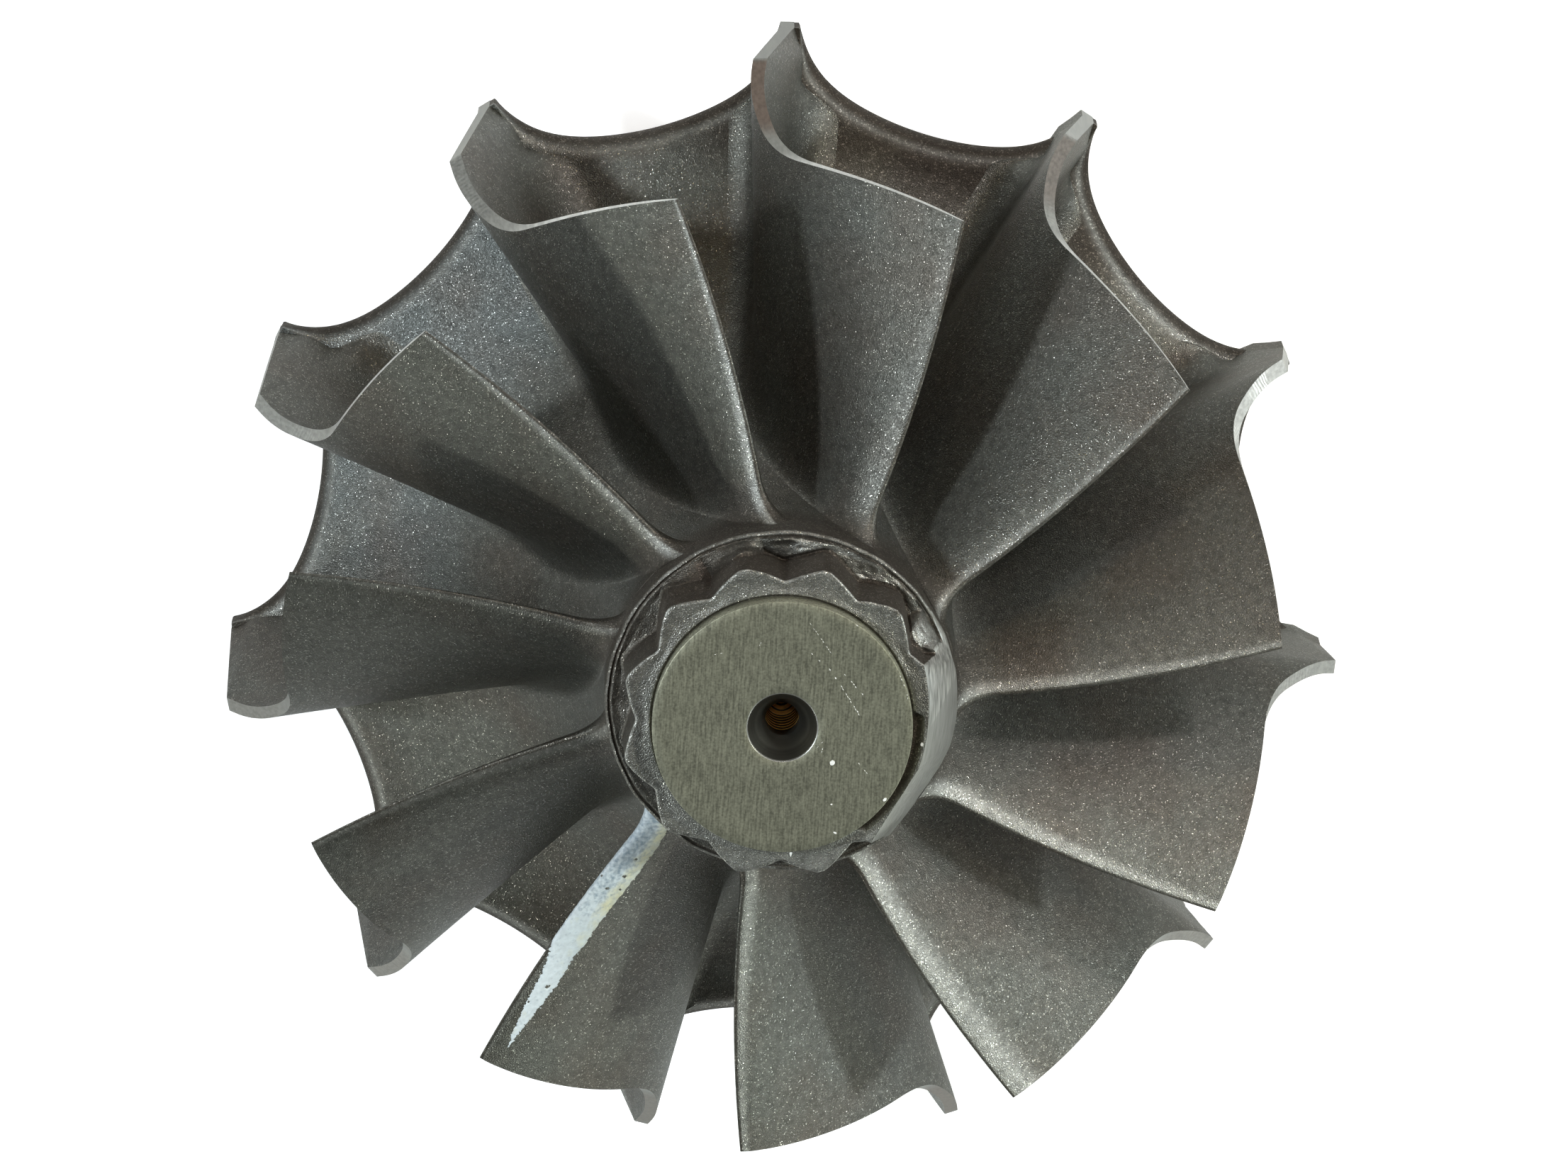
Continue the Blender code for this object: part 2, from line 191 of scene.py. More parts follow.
class AlloySettings(bpy.types.PropertyGroup):
    """Finish of the bare metal."""

    cast_colour: colour("Cast colour", "Colour of the shot-blasted casting", (0.115, 0.115, 0.103))
    cast_roughness: share("Cast roughness", "Roughness of the casting", 0.40)
    metal: share("Metal", "How metallic the surfaces are", 0.85)
    grain: length("Grain", "Size of the casting's grain", 0.0001)
    sparkle: share("Sparkle", "How much the brightest grains stand out", 1.5, 4.0)
    tint: colour("Heat tint", "Brown tint left by heat", (0.095, 0.074, 0.060))
    tint_share: share("Tint share", "How strongly the heat tint shows", 0.5)
    # This brown is also painted shade: rim, trailing edges' ends, backs of blades 2 and 8, end groove
    brown: colour("Brown oxide", "Oxide on the collar and on the drive's walls", (0.060, 0.050, 0.041))
    # Painted cool light: a lighter bluish colour that stands for cool light on the disc's left part
    cool_light: colour("Painted cool light", "Colour painted where cool light falls on the disc", (0.112, 0.119, 0.116))
    machined_colour: colour("Machined colour", "Colour of the turned end", (0.34, 0.34, 0.262))
    boss_colour: colour("Boss colour", "Colour of the turned weld boss", (0.34, 0.335, 0.315))
    strip_colour: colour("Strip colour", "Colour of the blades' ground strips", (0.22, 0.22, 0.205))
    # Painted highlight on the ground strips, stronger on some blades than on others
    strip_sheen: colour("Bright strip", "Colour painted as a highlight on the strips", (0.62, 0.62, 0.60))
    strip_tint: colour("Tinted strip", "Bronze tint on some of the ground strips", (0.19, 0.14, 0.115))
    # Wear and the painted highlights on the casting are also lightened towards this colour
    ground_colour: colour("Ground colour", "Colour of freshly ground metal", (0.33, 0.33, 0.31))


class PaintSettings(bpy.types.PropertyGroup):
    """White brush stroke on one blade."""

    paint_colour: colour("Paint colour", "Colour of the marking paint", (0.66, 0.73, 0.78))
    cream_colour: colour("Cream", "Colour where the paint has yellowed", (0.70, 0.69, 0.50))
    thin_colour: colour("Thin paint", "Colour where the metal shows through", (0.22, 0.29, 0.36))
    film: length("Film", "Thickness of the paint film", 0.00005)


class StageSettings(bpy.types.PropertyGroup):
    """Floor, lamps and camera."""

    floor_colour: colour("Floor colour", "Colour of the pale floor", (0.92, 0.92, 0.92))
    lamps: share("Lamps", "Brightness of all the lamps together", 1.0, 4.0)


def rise(value, start, width):
    """0 up to a start, then a smooth climb to 1 over a width."""
    climb = np.clip((value - start) / width, 0.0, 1.0)
    return climb * climb * (3 - 2 * climb)


def mix(first, second, part):
    """A value between two others: the first at part 0, the second at part 1."""
    return first + (second - first) * part


def around_axis(radius, angle, height):
    """Points at radii, angles and heights, which broadcast."""
    x, y = radius * np.cos(angle), radius * np.sin(angle)
    return np.stack(np.broadcast_arrays(x, y, height), axis=-1)


def hub_contour(turn):
    """(radius, height) on the hub. turn runs from 0 at the wheel's rim to 90 degrees at the collar."""
    radius = WHEEL_RADIUS - (WHEEL_RADIUS - HUB_RADIUS) * np.sin(turn)
    return radius, BACK_PLANE + HUB_CREST - (HUB_CREST - HUB_FOOT) * np.cos(turn)


def hub_height(radius):
    """Height of the hub contour at a radius."""
    sine = np.clip((WHEEL_RADIUS - radius) / (WHEEL_RADIUS - HUB_RADIUS), 0.0, 1.0)
    return hub_contour(np.arcsin(sine))[1]


def back_height(radius):
    """Height of the wheel's back, flat near the rim and falling towards the weld boss."""
    past = np.maximum(0.0, (BACK_CONE_START - radius) / (BACK_CONE_START - BOSS_RADIUS))
    return BACK_PLANE - BACK_CONE_DEPTH * past ** BACK_CONE_POWER


def wrap(height):
    """Angle of a blade's centre line at a height, measured from its foot."""
    above = height - BACK_PLANE
    past = np.maximum(0.0, above - WRAP_START) / WHEEL_RADIUS
    return LEAN * above / WHEEL_RADIUS + WRAP_SQUARE * past ** 2 + WRAP_CUBE * past ** 3


def wrap_slope(height):
    """Change of the blade's angle with height, in radians per metre."""
    past = np.maximum(0.0, height - BACK_PLANE - WRAP_START) / WHEEL_RADIUS
    return (LEAN + 2 * WRAP_SQUARE * past + 3 * WRAP_CUBE * past ** 2) / WHEEL_RADIUS


def shroud_path(steps=48):
    """Points from the inducer's front corner to the tip of the trailing edge."""
    corner = INDUCER_HEIGHT + (WHEEL_RADIUS - EXDUCER_RADIUS) * math.tan(FLANK_ANGLE)
    turn = math.pi / 2 - FLANK_ANGLE
    centre_height = corner + SHROUD_ARC * math.tan(turn / 2)
    angle = math.pi + turn * (1 - np.linspace(0, 1, steps))
    radius = EXDUCER_RADIUS + SHROUD_ARC + SHROUD_ARC * np.cos(angle)
    height = centre_height + SHROUD_ARC * np.sin(angle)
    radius = np.concatenate([[WHEEL_RADIUS], radius, [EXDUCER_RADIUS]])
    height = np.concatenate([[INDUCER_HEIGHT], height, [EXDUCER_HEIGHT]])
    return np.stack([radius, BACK_PLANE + height], axis=-1)


def hub_path(steps=256):
    """Points on the hub contour from the rim to the root of the trailing edge."""
    root = EXDUCER_HEIGHT + TRAILING_SLANT
    last = math.acos((HUB_CREST - root) / (HUB_CREST - HUB_FOOT))
    return np.stack(hub_contour(np.linspace(0, last, steps)), axis=-1)


def path_length(path):
    return float(np.hypot(*np.diff(path, axis=0).T).sum())


def along(path, shares):
    """Points at shares of a path's length. Past its end the path runs straight on."""
    steps = np.hypot(*np.diff(path, axis=0).T)
    places = np.concatenate([[0.0], np.cumsum(steps)]) / steps.sum()
    inside = np.clip(shares, 0.0, 1.0)
    points = np.stack([np.interp(inside, places, path[:, k]) for k in (0, 1)], axis=-1)
    onward = (path[-1] - path[-2]) / steps[-1] * steps.sum()
    return points + np.maximum(0.0, shares - 1.0)[..., None] * onward


def scallop_height(across):
    """Distance of the scalloped edge from the axis, measured along the middle of the gap."""
    part = across / WHEEL_RADIUS
    return SCALLOP_RADIUS + WHEEL_RADIUS * (SCALLOP_BOW * part ** 2 + SCALLOP_SHOULDER * part ** 6)


def rim_radius(angle):
    """Radius of the scalloped rim at angles from a blade's foot."""
    off_middle = PITCH / 2 - np.abs((angle + PITCH / 2) % PITCH - PITCH / 2)
    radius = np.full_like(off_middle, SCALLOP_RADIUS)
    for _ in range(60):
        across = radius * np.sin(off_middle)
        radius = 0.5 * (radius + scallop_height(across) / np.cos(off_middle))
        radius = np.minimum(radius, WHEEL_RADIUS)
    return radius


PRONG_ANGLES = np.linspace(0.0, PITCH / 2, 900)
PRONG_RADII = rim_radius(PRONG_ANGLES)


def prong_half_width(radius):
    """Half the width of the disc's prong under a blade, along the circle at a radius."""
    angle = np.interp(radius, PRONG_RADII[::-1], PRONG_ANGLES[::-1])
    return radius * np.where(radius <= SCALLOP_RADIUS, PITCH / 2, angle)


# How far in from the prongs' tips the rim's rounding reaches its full size
PRONG_FADE = 0.0032
# The blades thin by a power of the height, and once more by a share near the trailing edge
THINNING_POWER = 0.8
TAPER_START = 0.90
TAPER_SHARE = 0.45
# Width of the root fillet against its height, and the least room that a fillet is given
FILLET_SPREAD = 0.8
LEAST_ROOM = 1e-6


def rim_rounding(radius, settings):
    """How far in from the scallops the rim is rounded: less towards the prongs' tips."""
    return TUCK + settings.rim_rounding * rise(WHEEL_RADIUS - radius, 0, PRONG_FADE)


def blade_half(radius, height, along_share, up_share, settings):
    """Half the blade's width along the circle, without its fillet."""
    body = np.minimum(along_share, 1.0)
    tip = mix(settings.tip_thickness, settings.trailing_thickness, body)
    normal = mix(settings.root_thickness, tip, up_share ** THINNING_POWER)
    past = np.maximum(0.0, body - TAPER_START) / (1 - TAPER_START)
    normal = normal * (1 - TAPER_SHARE * past ** 2)
    half = 0.5 * normal * np.hypot(1.0, radius * wrap_slope(height))
    return np.minimum(half, np.maximum(settings.tip_thickness / 2, prong_half_width(radius)))


def blade_columns(start, body, edge):
    """Columns for blade_points: some along the plain part from a share on, some round the edge."""
    from_start = np.concatenate([np.linspace(start, 1, body + 1)[:-1], np.ones(edge)])
    from_edge = np.concatenate([np.zeros(body), np.linspace(0, math.pi / 2, edge)])
    return from_start[:, None], from_edge[:, None]


def blade_rows(fillet_turn, span, top):
    """Rows for blade_points: some round the root fillet, some above it up to a share of the span."""
    lift_angle = np.concatenate([fillet_turn, np.zeros(span)])
    upper = np.concatenate([np.zeros(len(fillet_turn)), np.linspace(0, top, span + 1)[1:]])
    return lift_angle[None, :], upper[None, :]


def blade_points(from_start, from_edge, lift_angle, upper, side, blade, disc):
    """Points of one side of a blade, in columns and rows.

    from_start is the share of the plain part, from_edge the turn round the trailing edge's
    rounding, lift_angle the turn round the root fillet and upper the share of the span above it.
    """
    hub, shroud = hub_path(), shroud_path()
    fillet = mix(blade.rim_fillet, blade.nose_fillet, from_start)
    end_span = np.hypot(*(along(shroud, np.array(1.0)) - along(hub, np.array(1.0))))
    depth = fillet * (1 - np.sin(lift_angle))
    rough_up = mix(depth, end_span, upper) / end_span
    row_length = mix(path_length(hub), path_length(shroud), rough_up)
    edge = mix(blade.root_edge, blade.tip_edge, rough_up)
    flare = blade.foot_flare * (1 - np.cos(lift_angle))
    plain = from_start * (1 + (flare - edge) / row_length)
    rounded = 1 + (flare - edge * (1 - np.sin(from_edge))) / row_length
    reached = np.where(from_start < 1, plain, rounded)
    low = along(hub, reached)
    high = along(shroud, np.minimum(reached, 1.0))
    span = np.hypot(*np.moveaxis(high - low, -1, 0))
    up_share = mix(depth, span, upper) / span
    radius, height = np.moveaxis(mix(low, high, up_share[..., None]), -1, 0)
    foot, foot_height = np.moveaxis(low, -1, 0)
    foot_half = blade_half(foot, foot_height, reached, np.zeros_like(up_share), blade)
    room = np.maximum(prong_half_width(foot) - rim_rounding(foot, disc) - foot_half, LEAST_ROOM)
    spread = FILLET_SPREAD * fillet * np.hypot(1.0, radius * wrap_slope(height))
    half = blade_half(radius, height, reached, up_share, blade)
    half = half + room * np.tanh(spread / room) * (1 - np.cos(lift_angle))
    half = half * np.where(from_start < 1, 1.0, np.cos(from_edge))
    return around_axis(radius, side * half / radius - wrap(height), height)


def between(angle, first, last, soft=6.0):
    """One between two angles in degrees, counted onwards from the first, with soft ends outside them."""
    middle, half = (first + last) / 2, (last - first) / 2
    off = np.abs((np.degrees(angle) - middle + 180) % 360 - 180) - half
    return 1 - rise(off, 0, soft)


def waves(angle, *parts):
    """Sum of (count, phase, size) waves round the axis."""
    return sum(size * np.sin(count * angle + phase) for count, phase, size in parts)


# Unevenness of the casting: waves round the axis, each (count, phase, size)
DRIVE_WAVES = ((5, 0.4, 0.00004), (9, 2.0, 0.00003), (17, 1.0, 0.000025))
RIM_WAVES = ((3, 0.5, 0.00003), (11, 1.3, 0.00002), (23, 0.2, 0.000015))
TOP_WAVES = ((4, 1.1, 0.00004), (13, 0.3, 0.00003), (29, 2.2, 0.000025))
LEDGE_WAVES = ((19, 0.3, 0.00004),)
POINT_WEAR = 0.00005


def drive_radius(angle, nose):
    """Radius of the drive's twelve blunt points and soft valleys."""
    turn = (angle - POINT_PHASE) / (2 * math.pi) * POINTS
    off_point = 2 * np.abs(turn - np.round(turn))
    soft = nose.bluntness
    past = np.maximum(0.0, off_point - soft / 2)
    down = np.where(past < soft, past ** 2 / (2 * soft), past - soft / 2) / (1 - soft)
    near_valley = 1 - off_point
    valley = 1 - (near_valley ** 2 + soft ** 2) / (2 * soft * (1 - soft))
    down = np.clip(np.where(near_valley < soft, valley, down), 0, 1)
    drop = (nose.valley_radius - POINT_RADIUS) * down
    return POINT_RADIUS - POINT_WEAR + drop + waves(angle, *DRIVE_WAVES)


# Zones of the nose: first and last angle in degrees, and the width of their soft ends
NOSE_ZONES = {
    "filled": (133, 201, 6.0),
    "torn": (-151, -112, 3.0),
    "bared": (-151, -94, 6.0),
    "lump": (-100, -84, 5.0),
    "shoulder": (-56, -44, 2.0),
    "dark_band": (130, 185, 4.0),
    "left": (-38, 62, 8.0),
    "crag": (-164, -144, 3.0),
    "grooved": (-40, 60, 20.0),
    "clean": (-20, 100, 20.0),
    "painted_light_bottom": (50, 130, 25.0),
}
# Height of the ledge at the foot of the drive's wall, by angle in degrees: it climbs the wall
# in two places beside the rim
LEDGE_ANGLES = (-180, -86, -80, -76, -69, -64, -58, -55, -51, -47, -43, -36, 180)
LEDGE_HEIGHTS = (
    0.0499, 0.0499, 0.0501, 0.0516, 0.0523, 0.0511, 0.0502, 0.0509, 0.0512, 0.0514, 0.0511, 0.0500, 0.0498,
)
# The collar's rim: where its straight wall ends, its rounding, the groove inside it as (distance
# in, share of the depth, brown), and the lip that ends it
WALL_END = COLLAR_TOP - 0.0003
RIM_ROUNDING = 0.00022
RIM_GROOVE = ((0.00028, 0.6, 0.6), (0.00036, 1.0, 0.7), (0.00044, 0.4, 0.5))
RIM_LIP = 0.00050
LIP_DROP = 0.00003
# The ledge: the radius where its steeper part starts, the least width of that part, how far the
# torn metal bites into the rest, its two drops below the rim on the left, how high the bared and the
# craggy metal stand, and the shares of the fall and of the crag that lie outside that radius
LEDGE_RADIUS = 0.01203
LEDGE_LEAST = 0.00010
TORN_BITE = 0.0006
LEFT_DROP = 0.00012
LEFT_FLOOR = 0.0001
BARED_RISE = 0.0004
CRAG_RISE = 0.0024
OUTER_FALL = 0.35
OUTER_CRAG = 0.65
# The drive's wall: its draft, and the step that the shoulder leaves on it
WALL_DRAFT = 0.00018
STEP_OUT = 0.0003
STEP_HEIGHT = 0.0530
STEP_SOFTNESS = 0.0002
# Groove round the machined end, from its rim to its foot: distance out from the end, how much wider
# it is in the dark band, share of the top's swell, share of the depth, painted shade in brown, and
# more of it in the band
END_GROOVE = (
    (0.00014, 0.00050, 1.0, 0.5, 0.25, 0.5),
    (0.00008, 0.00028, 1.0, 1.0, 0.4, 0.5),
    (0.00003, 0.0, 0.0, 0.8, 0.5, 0.4),
)
END_GROOVE_RIM = (0.00020, 0.00070)
END_GROOVE_DEEPER = 4.5
TOP_SWELL = 0.00010
# How far the groove's floor runs in under the machined end, and the radius where the rings stop
# under the collar and under the end
UNDER_END = 0.0003
HIDDEN_RADIUS = 0.0050
# Torn metal: the sizes of its flakes, how much they are drawn out round the axis, the grit that the
# whole ledge has, the share of the full height in the torn zone, and the lump's own height
FLAKE = 0.0007
SMALL_FLAKE = 0.00030
FLAKE_STRETCH = 0.28
LEDGE_GRIT = 0.00006
TORN_SHARE = 0.75
LUMP_RISE = 0.0003
# Cast skin of the nose: its depth and the size of its lumps; and the size of the bright speckles
SKIN_DEPTH = 0.00003
SKIN_LUMP = 0.0009
SPECKLE = 0.00025


def roughness_at(points, size, seed=0.0):
    """Noise between about -1 and 1 at points, with lumps of one size."""
    flat = points.reshape(-1, 3) / size + seed
    return np.array([noise.noise(Vector(place)) for place in flat]).reshape(points.shape[:-1])


def nose_rings(angle, nose):
    """Rows of (radius, height, wear and sheen, brown) from the collar's foot over the rim, the ledge,
    the drive's wall and its top to the groove round the machined end."""
    zone = {name: between(angle, *ends) for name, ends in NOSE_ZONES.items()}
    left, bared, lump, dark_band = zone["left"], zone["bared"], zone["lump"], zone["dark_band"]
    drive = drive_radius(angle, nose)
    rim = HUB_RADIUS + waves(angle, *RIM_WAVES)
    top = COLLAR_TOP + waves(angle, *TOP_WAVES)
    foot = np.interp(np.degrees(angle), LEDGE_ANGLES, LEDGE_HEIGHTS)
    rows = []

    def row(radius, height, wear_and_sheen=0.0, brown=0.0):
        rows.append([np.broadcast_to(value, angle.shape).copy() for value in (radius, height, wear_and_sheen, brown)])

    # Collar and rim
    row(HIDDEN_RADIUS, COLLAR_FOOT)
    for height in np.linspace(COLLAR_FOOT, WALL_END, 8):
        row(rim, height, brown=0.75)
    rim_row = len(rows)
    for turn in np.radians((22, 45, 67, 90)):
        inward, down = RIM_ROUNDING * (1 - math.cos(turn)), RIM_ROUNDING * (1 - math.sin(turn))
        # The rim's rounding carries a painted highlight, weaker on the left
        row(rim - inward, top - down, wear_and_sheen=0.45 - 0.2 * left, brown=0.3)
    groove = nose.rim_groove * mix(0.35, 1.0, zone["grooved"])
    for inward, down, brown in RIM_GROOVE:
        row(rim - inward, top - groove * down, brown=brown)
    # The lip carries a painted highlight too
    row(rim - RIM_LIP, top - LIP_DROP, wear_and_sheen=0.35, brown=0.3)

    # Rough ledge
    wall_foot = drive + nose.foot_fillet
    bite = LEDGE_RADIUS + waves(angle, *LEDGE_WAVES) - TORN_BITE * zone["torn"]
    inner = np.maximum(wall_foot + LEDGE_LEAST, bite)
    oxide = 0.95 - 0.45 * zone["clean"]
    crag = CRAG_RISE * zone["crag"]
    floor = foot + (top - LEFT_FLOOR - foot) * left + BARED_RISE * bared + crag
    fall = (floor - top) * OUTER_FALL * (1 - left)
    # On the left the ledge is lightened and its brown weakened: painted light that lifts the shade there
    for step in np.linspace(0, 1, 8)[1:]:
        height = top - LEFT_DROP * left * step + fall * step + crag * OUTER_CRAG * step ** 0.4
        brown = 0.3 * (1 - left) * (1 - bared)
        row(mix(rim - RIM_LIP, inner, step), height, wear_and_sheen=0.22 * left + bared, brown=brown)
    start = top - LEFT_DROP * left + fall + crag * OUTER_CRAG
    for step in np.linspace(0, 1, 9)[1:]:
        edge_bared = bared * (1 - rise(step, 0.6, 0.4))
        # Bared metal and the lump are lighter, and the left is lightened as painted light
        wear_and_sheen = edge_bared + 0.5 * lump * (1 - step) + 0.2 * left
        brown = (0.45 + 0.35 * step) * (1 - edge_bared) * (1 - 0.5 * left) * oxide
        row(mix(inner, wall_foot, step), mix(start, floor, rise(step, 0, 1)), wear_and_sheen=wear_and_sheen, brown=brown)

    # Wall of the drive and its top edge
    fillet, edge = nose.foot_fillet, nose.edge_rounding
    for turn in np.radians((30, 60, 90)):
        row(wall_foot - fillet * math.sin(turn), floor + fillet * (1 - math.cos(turn)), brown=oxide)
    for step in np.linspace(0, 1, 15)[1:]:
        height = mix(floor + fillet, DRIVE_TOP - edge, step)
        below_step = 1 - rise(height, STEP_HEIGHT - STEP_SOFTNESS / 2, STEP_SOFTNESS)
        row(drive + WALL_DRAFT * (1 - step) + STEP_OUT * zone["shoulder"] * below_step, height, brown=oxide)
    for turn in np.radians((30, 60, 90)):
        row(drive - edge * (1 - math.cos(turn)), DRIVE_TOP - edge * (1 - math.sin(turn)), wear_and_sheen=0.85)
    edge_row = len(rows)

    # Top of the drive and the groove round the machined end
    outer = drive - edge + zone["filled"] * (rim - FILL_LEAN - drive + edge)
    groove_rim = END_RADIUS + END_GROOVE_RIM[0] + END_GROOVE_RIM[1] * dark_band
    depth = nose.end_groove * (1 + END_GROOVE_DEEPER * dark_band)
    swell = TOP_SWELL * (1 - dark_band)
    for step in np.linspace(0, 1, 9)[1:]:
        height = DRIVE_TOP + swell * rise(step, 0.5, 0.5)
        # Lightened all round, and more at the bottom as painted light
        wear_and_sheen = 0.42 + 0.45 * zone["painted_light_bottom"]
        # Painted brown shade grows towards the groove in the dark band
        row(mix(outer, groove_rim, step), height, wear_and_sheen=wear_and_sheen, brown=0.3 * dark_band * step)
    # Painted shade: brown in the groove, more in the dark band and most under the machined end
    for out, wider, swollen, down, brown, browner in END_GROOVE:
        height = DRIVE_TOP + swell * swollen - depth * down
        row(END_RADIUS + out + wider * dark_band, height, brown=brown + browner * dark_band)
    row(END_RADIUS - UNDER_END, DRIVE_TOP - depth, brown=1.0)
    row(HIDDEN_RADIUS, DRIVE_TOP - depth)

    rings = np.array(rows)
    run_over_points(rings[rim_row:edge_row], zone["filled"], rim)
    roughen_nose(rings, edge_row, angle, drive, rim, nose, zone)
    return rings


def run_over_points(rings, filled, rim):
    """Carries the collar's wall up to the drive's top, where the metal runs over the points."""
    radius, height = rings[:, 0], rings[:, 1]
    climb = np.linspace(0, 1, len(rings))[:, None]
    height += filled * (mix(WALL_END, DRIVE_TOP, climb) - height)
    radius += filled * (rim - FILL_LEAN * climb ** 1.5 - radius)


def roughen_nose(rings, edge_row, angle, drive, rim, nose, zone):
    """Breaks the ledge into flakes, gives the whole nose a cast skin and speckles its wear and painted
    highlights.
    """
    radius, height = rings[:, 0], rings[:, 1]
    points = around_axis(radius, angle, height)
    on_ledge = (height > COLLAR_TOP - 0.0012) * (height < COLLAR_TOP + 0.0030) * (radius < rim - 0.0004)
    on_ledge = on_ledge * rise(radius - drive, 0.0001, 0.0004)
    flakes = np.stack(np.broadcast_arrays(angle * HUB_RADIUS * FLAKE_STRETCH, radius, height), axis=-1)
    facets = roughness_at(flakes, FLAKE) + 0.6 * np.abs(roughness_at(flakes, SMALL_FLAKE, 5.0))
    torn_height = LEDGE_GRIT + nose.torn_height * (TORN_SHARE * zone["torn"] + zone["lump"])
    height += on_ledge * (torn_height * facets + LUMP_RISE * zone["lump"])
    skin = (height > COLLAR_FOOT + 0.0004) * (height < DRIVE_TOP - 0.0001)
    radius += skin * SKIN_DEPTH * roughness_at(points, SKIN_LUMP, 7.0)
    speckle = 0.75 + 1.2 * roughness_at(flakes, SPECKLE, 3.0)
    rings[:edge_row, 2] *= np.clip(speckle, 0, 1)[:edge_row]


def turn_about_axis(points, angle):
    cosine, sine = math.cos(angle), math.sin(angle)
    x, y, z = np.moveaxis(points, -1, 0)
    return np.stack([cosine * x - sine * y, sine * x + cosine * y, z], axis=-1)


def grid_faces(rows, columns, closed=False):
    """Four-sided faces of a grid of points that is stored row by row."""
    index = np.arange(rows * columns).reshape(rows, columns)
    if closed:
        index = np.hstack([index, index[:, :1]])
    corners = (index[:-1, :-1], index[:-1, 1:], index[1:, 1:], index[1:, :-1])
    return np.stack(corners, axis=-1).reshape(-1, 4)


def put_in_scene(name, data):
    """A new object in the scene."""
    added = bpy.data.objects.new(name, data)
    bpy.context.scene.collection.objects.link(added)
    return added


def make_piece(name, points, faces, finishes, face_finish=None, sharp=math.radians(38), marks=None):
    """A closed mesh object from points and faces, shaded smooth up to an angle.

    marks are named values at the points, which the materials read."""
    mesh = bpy.data.meshes.new(name)
    mesh.from_pydata(points.reshape(-1, 3).tolist(), [], [list(face) for face in faces])
    for mark, values in (marks or {}).items():
        stored = mesh.attributes.new(mark, "FLOAT", "POINT").data
        stored.foreach_set("value", values.ravel().astype(np.float32))
    for finish in finishes:
        mesh.materials.append(finish)
    if face_finish is not None:
        mesh.polygons.foreach_set("material_index", np.asarray(face_finish, dtype=np.int32))
    maker = bmesh.new()
    maker.from_mesh(mesh)
    bmesh.ops.remove_doubles(maker, verts=maker.verts, dist=1e-7)
    bmesh.ops.dissolve_degenerate(maker, edges=maker.edges, dist=1e-8)
    bmesh.ops.recalc_face_normals(maker, faces=maker.faces)
    maker.to_mesh(mesh)
    maker.free()
    mesh.shade_smooth()
    mesh.set_sharp_from_angle(angle=sharp)
    return put_in_scene(name, mesh)


def dress(piece, slot, *nodes):
    """The piece rides on the wheel and stands for its solids."""
    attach(piece, "root")
    if nodes:
        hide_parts(*nodes)


# Points round a turned piece
TURNED_STEPS = 256


def turned_piece(name, outline, finishes, face_finish=None):
    """A closed (radius, height) outline turned about the axis. Its ends are filled where they don't meet."""
    steps = TURNED_STEPS
    angle = np.linspace(0, 2 * math.pi, steps, endpoint=False)
    radius, height = np.array(outline).T[..., None]
    points = around_axis(radius, angle, height)
    rows = len(outline)
    faces = grid_faces(rows, steps, closed=True).tolist()
    owner = [0 if face_finish is None else face_finish[k // steps] for k in range(len(faces))]
    if outline[0] != outline[-1]:
        faces += [list(range(steps)), list(range((rows - 1) * steps, rows * steps))]
        owner += [owner[0], owner[-1]]
    return make_piece(name, points, faces, finishes, owner, sharp=math.radians(30))


def cut(piece, cutter):
    """Cuts the cutter's shape out of a piece and leaves the cutter's finish on the cut."""
    modifier = piece.modifiers.new("Cut", "BOOLEAN")
    modifier.operation = "DIFFERENCE"
    modifier.solver = "EXACT"
    modifier.object = cutter
    depsgraph = bpy.context.evaluated_depsgraph_get()
    cut_mesh = bpy.data.meshes.new_from_object(piece.evaluated_get(depsgraph))
    piece.modifiers.clear()
    piece.data = cut_mesh


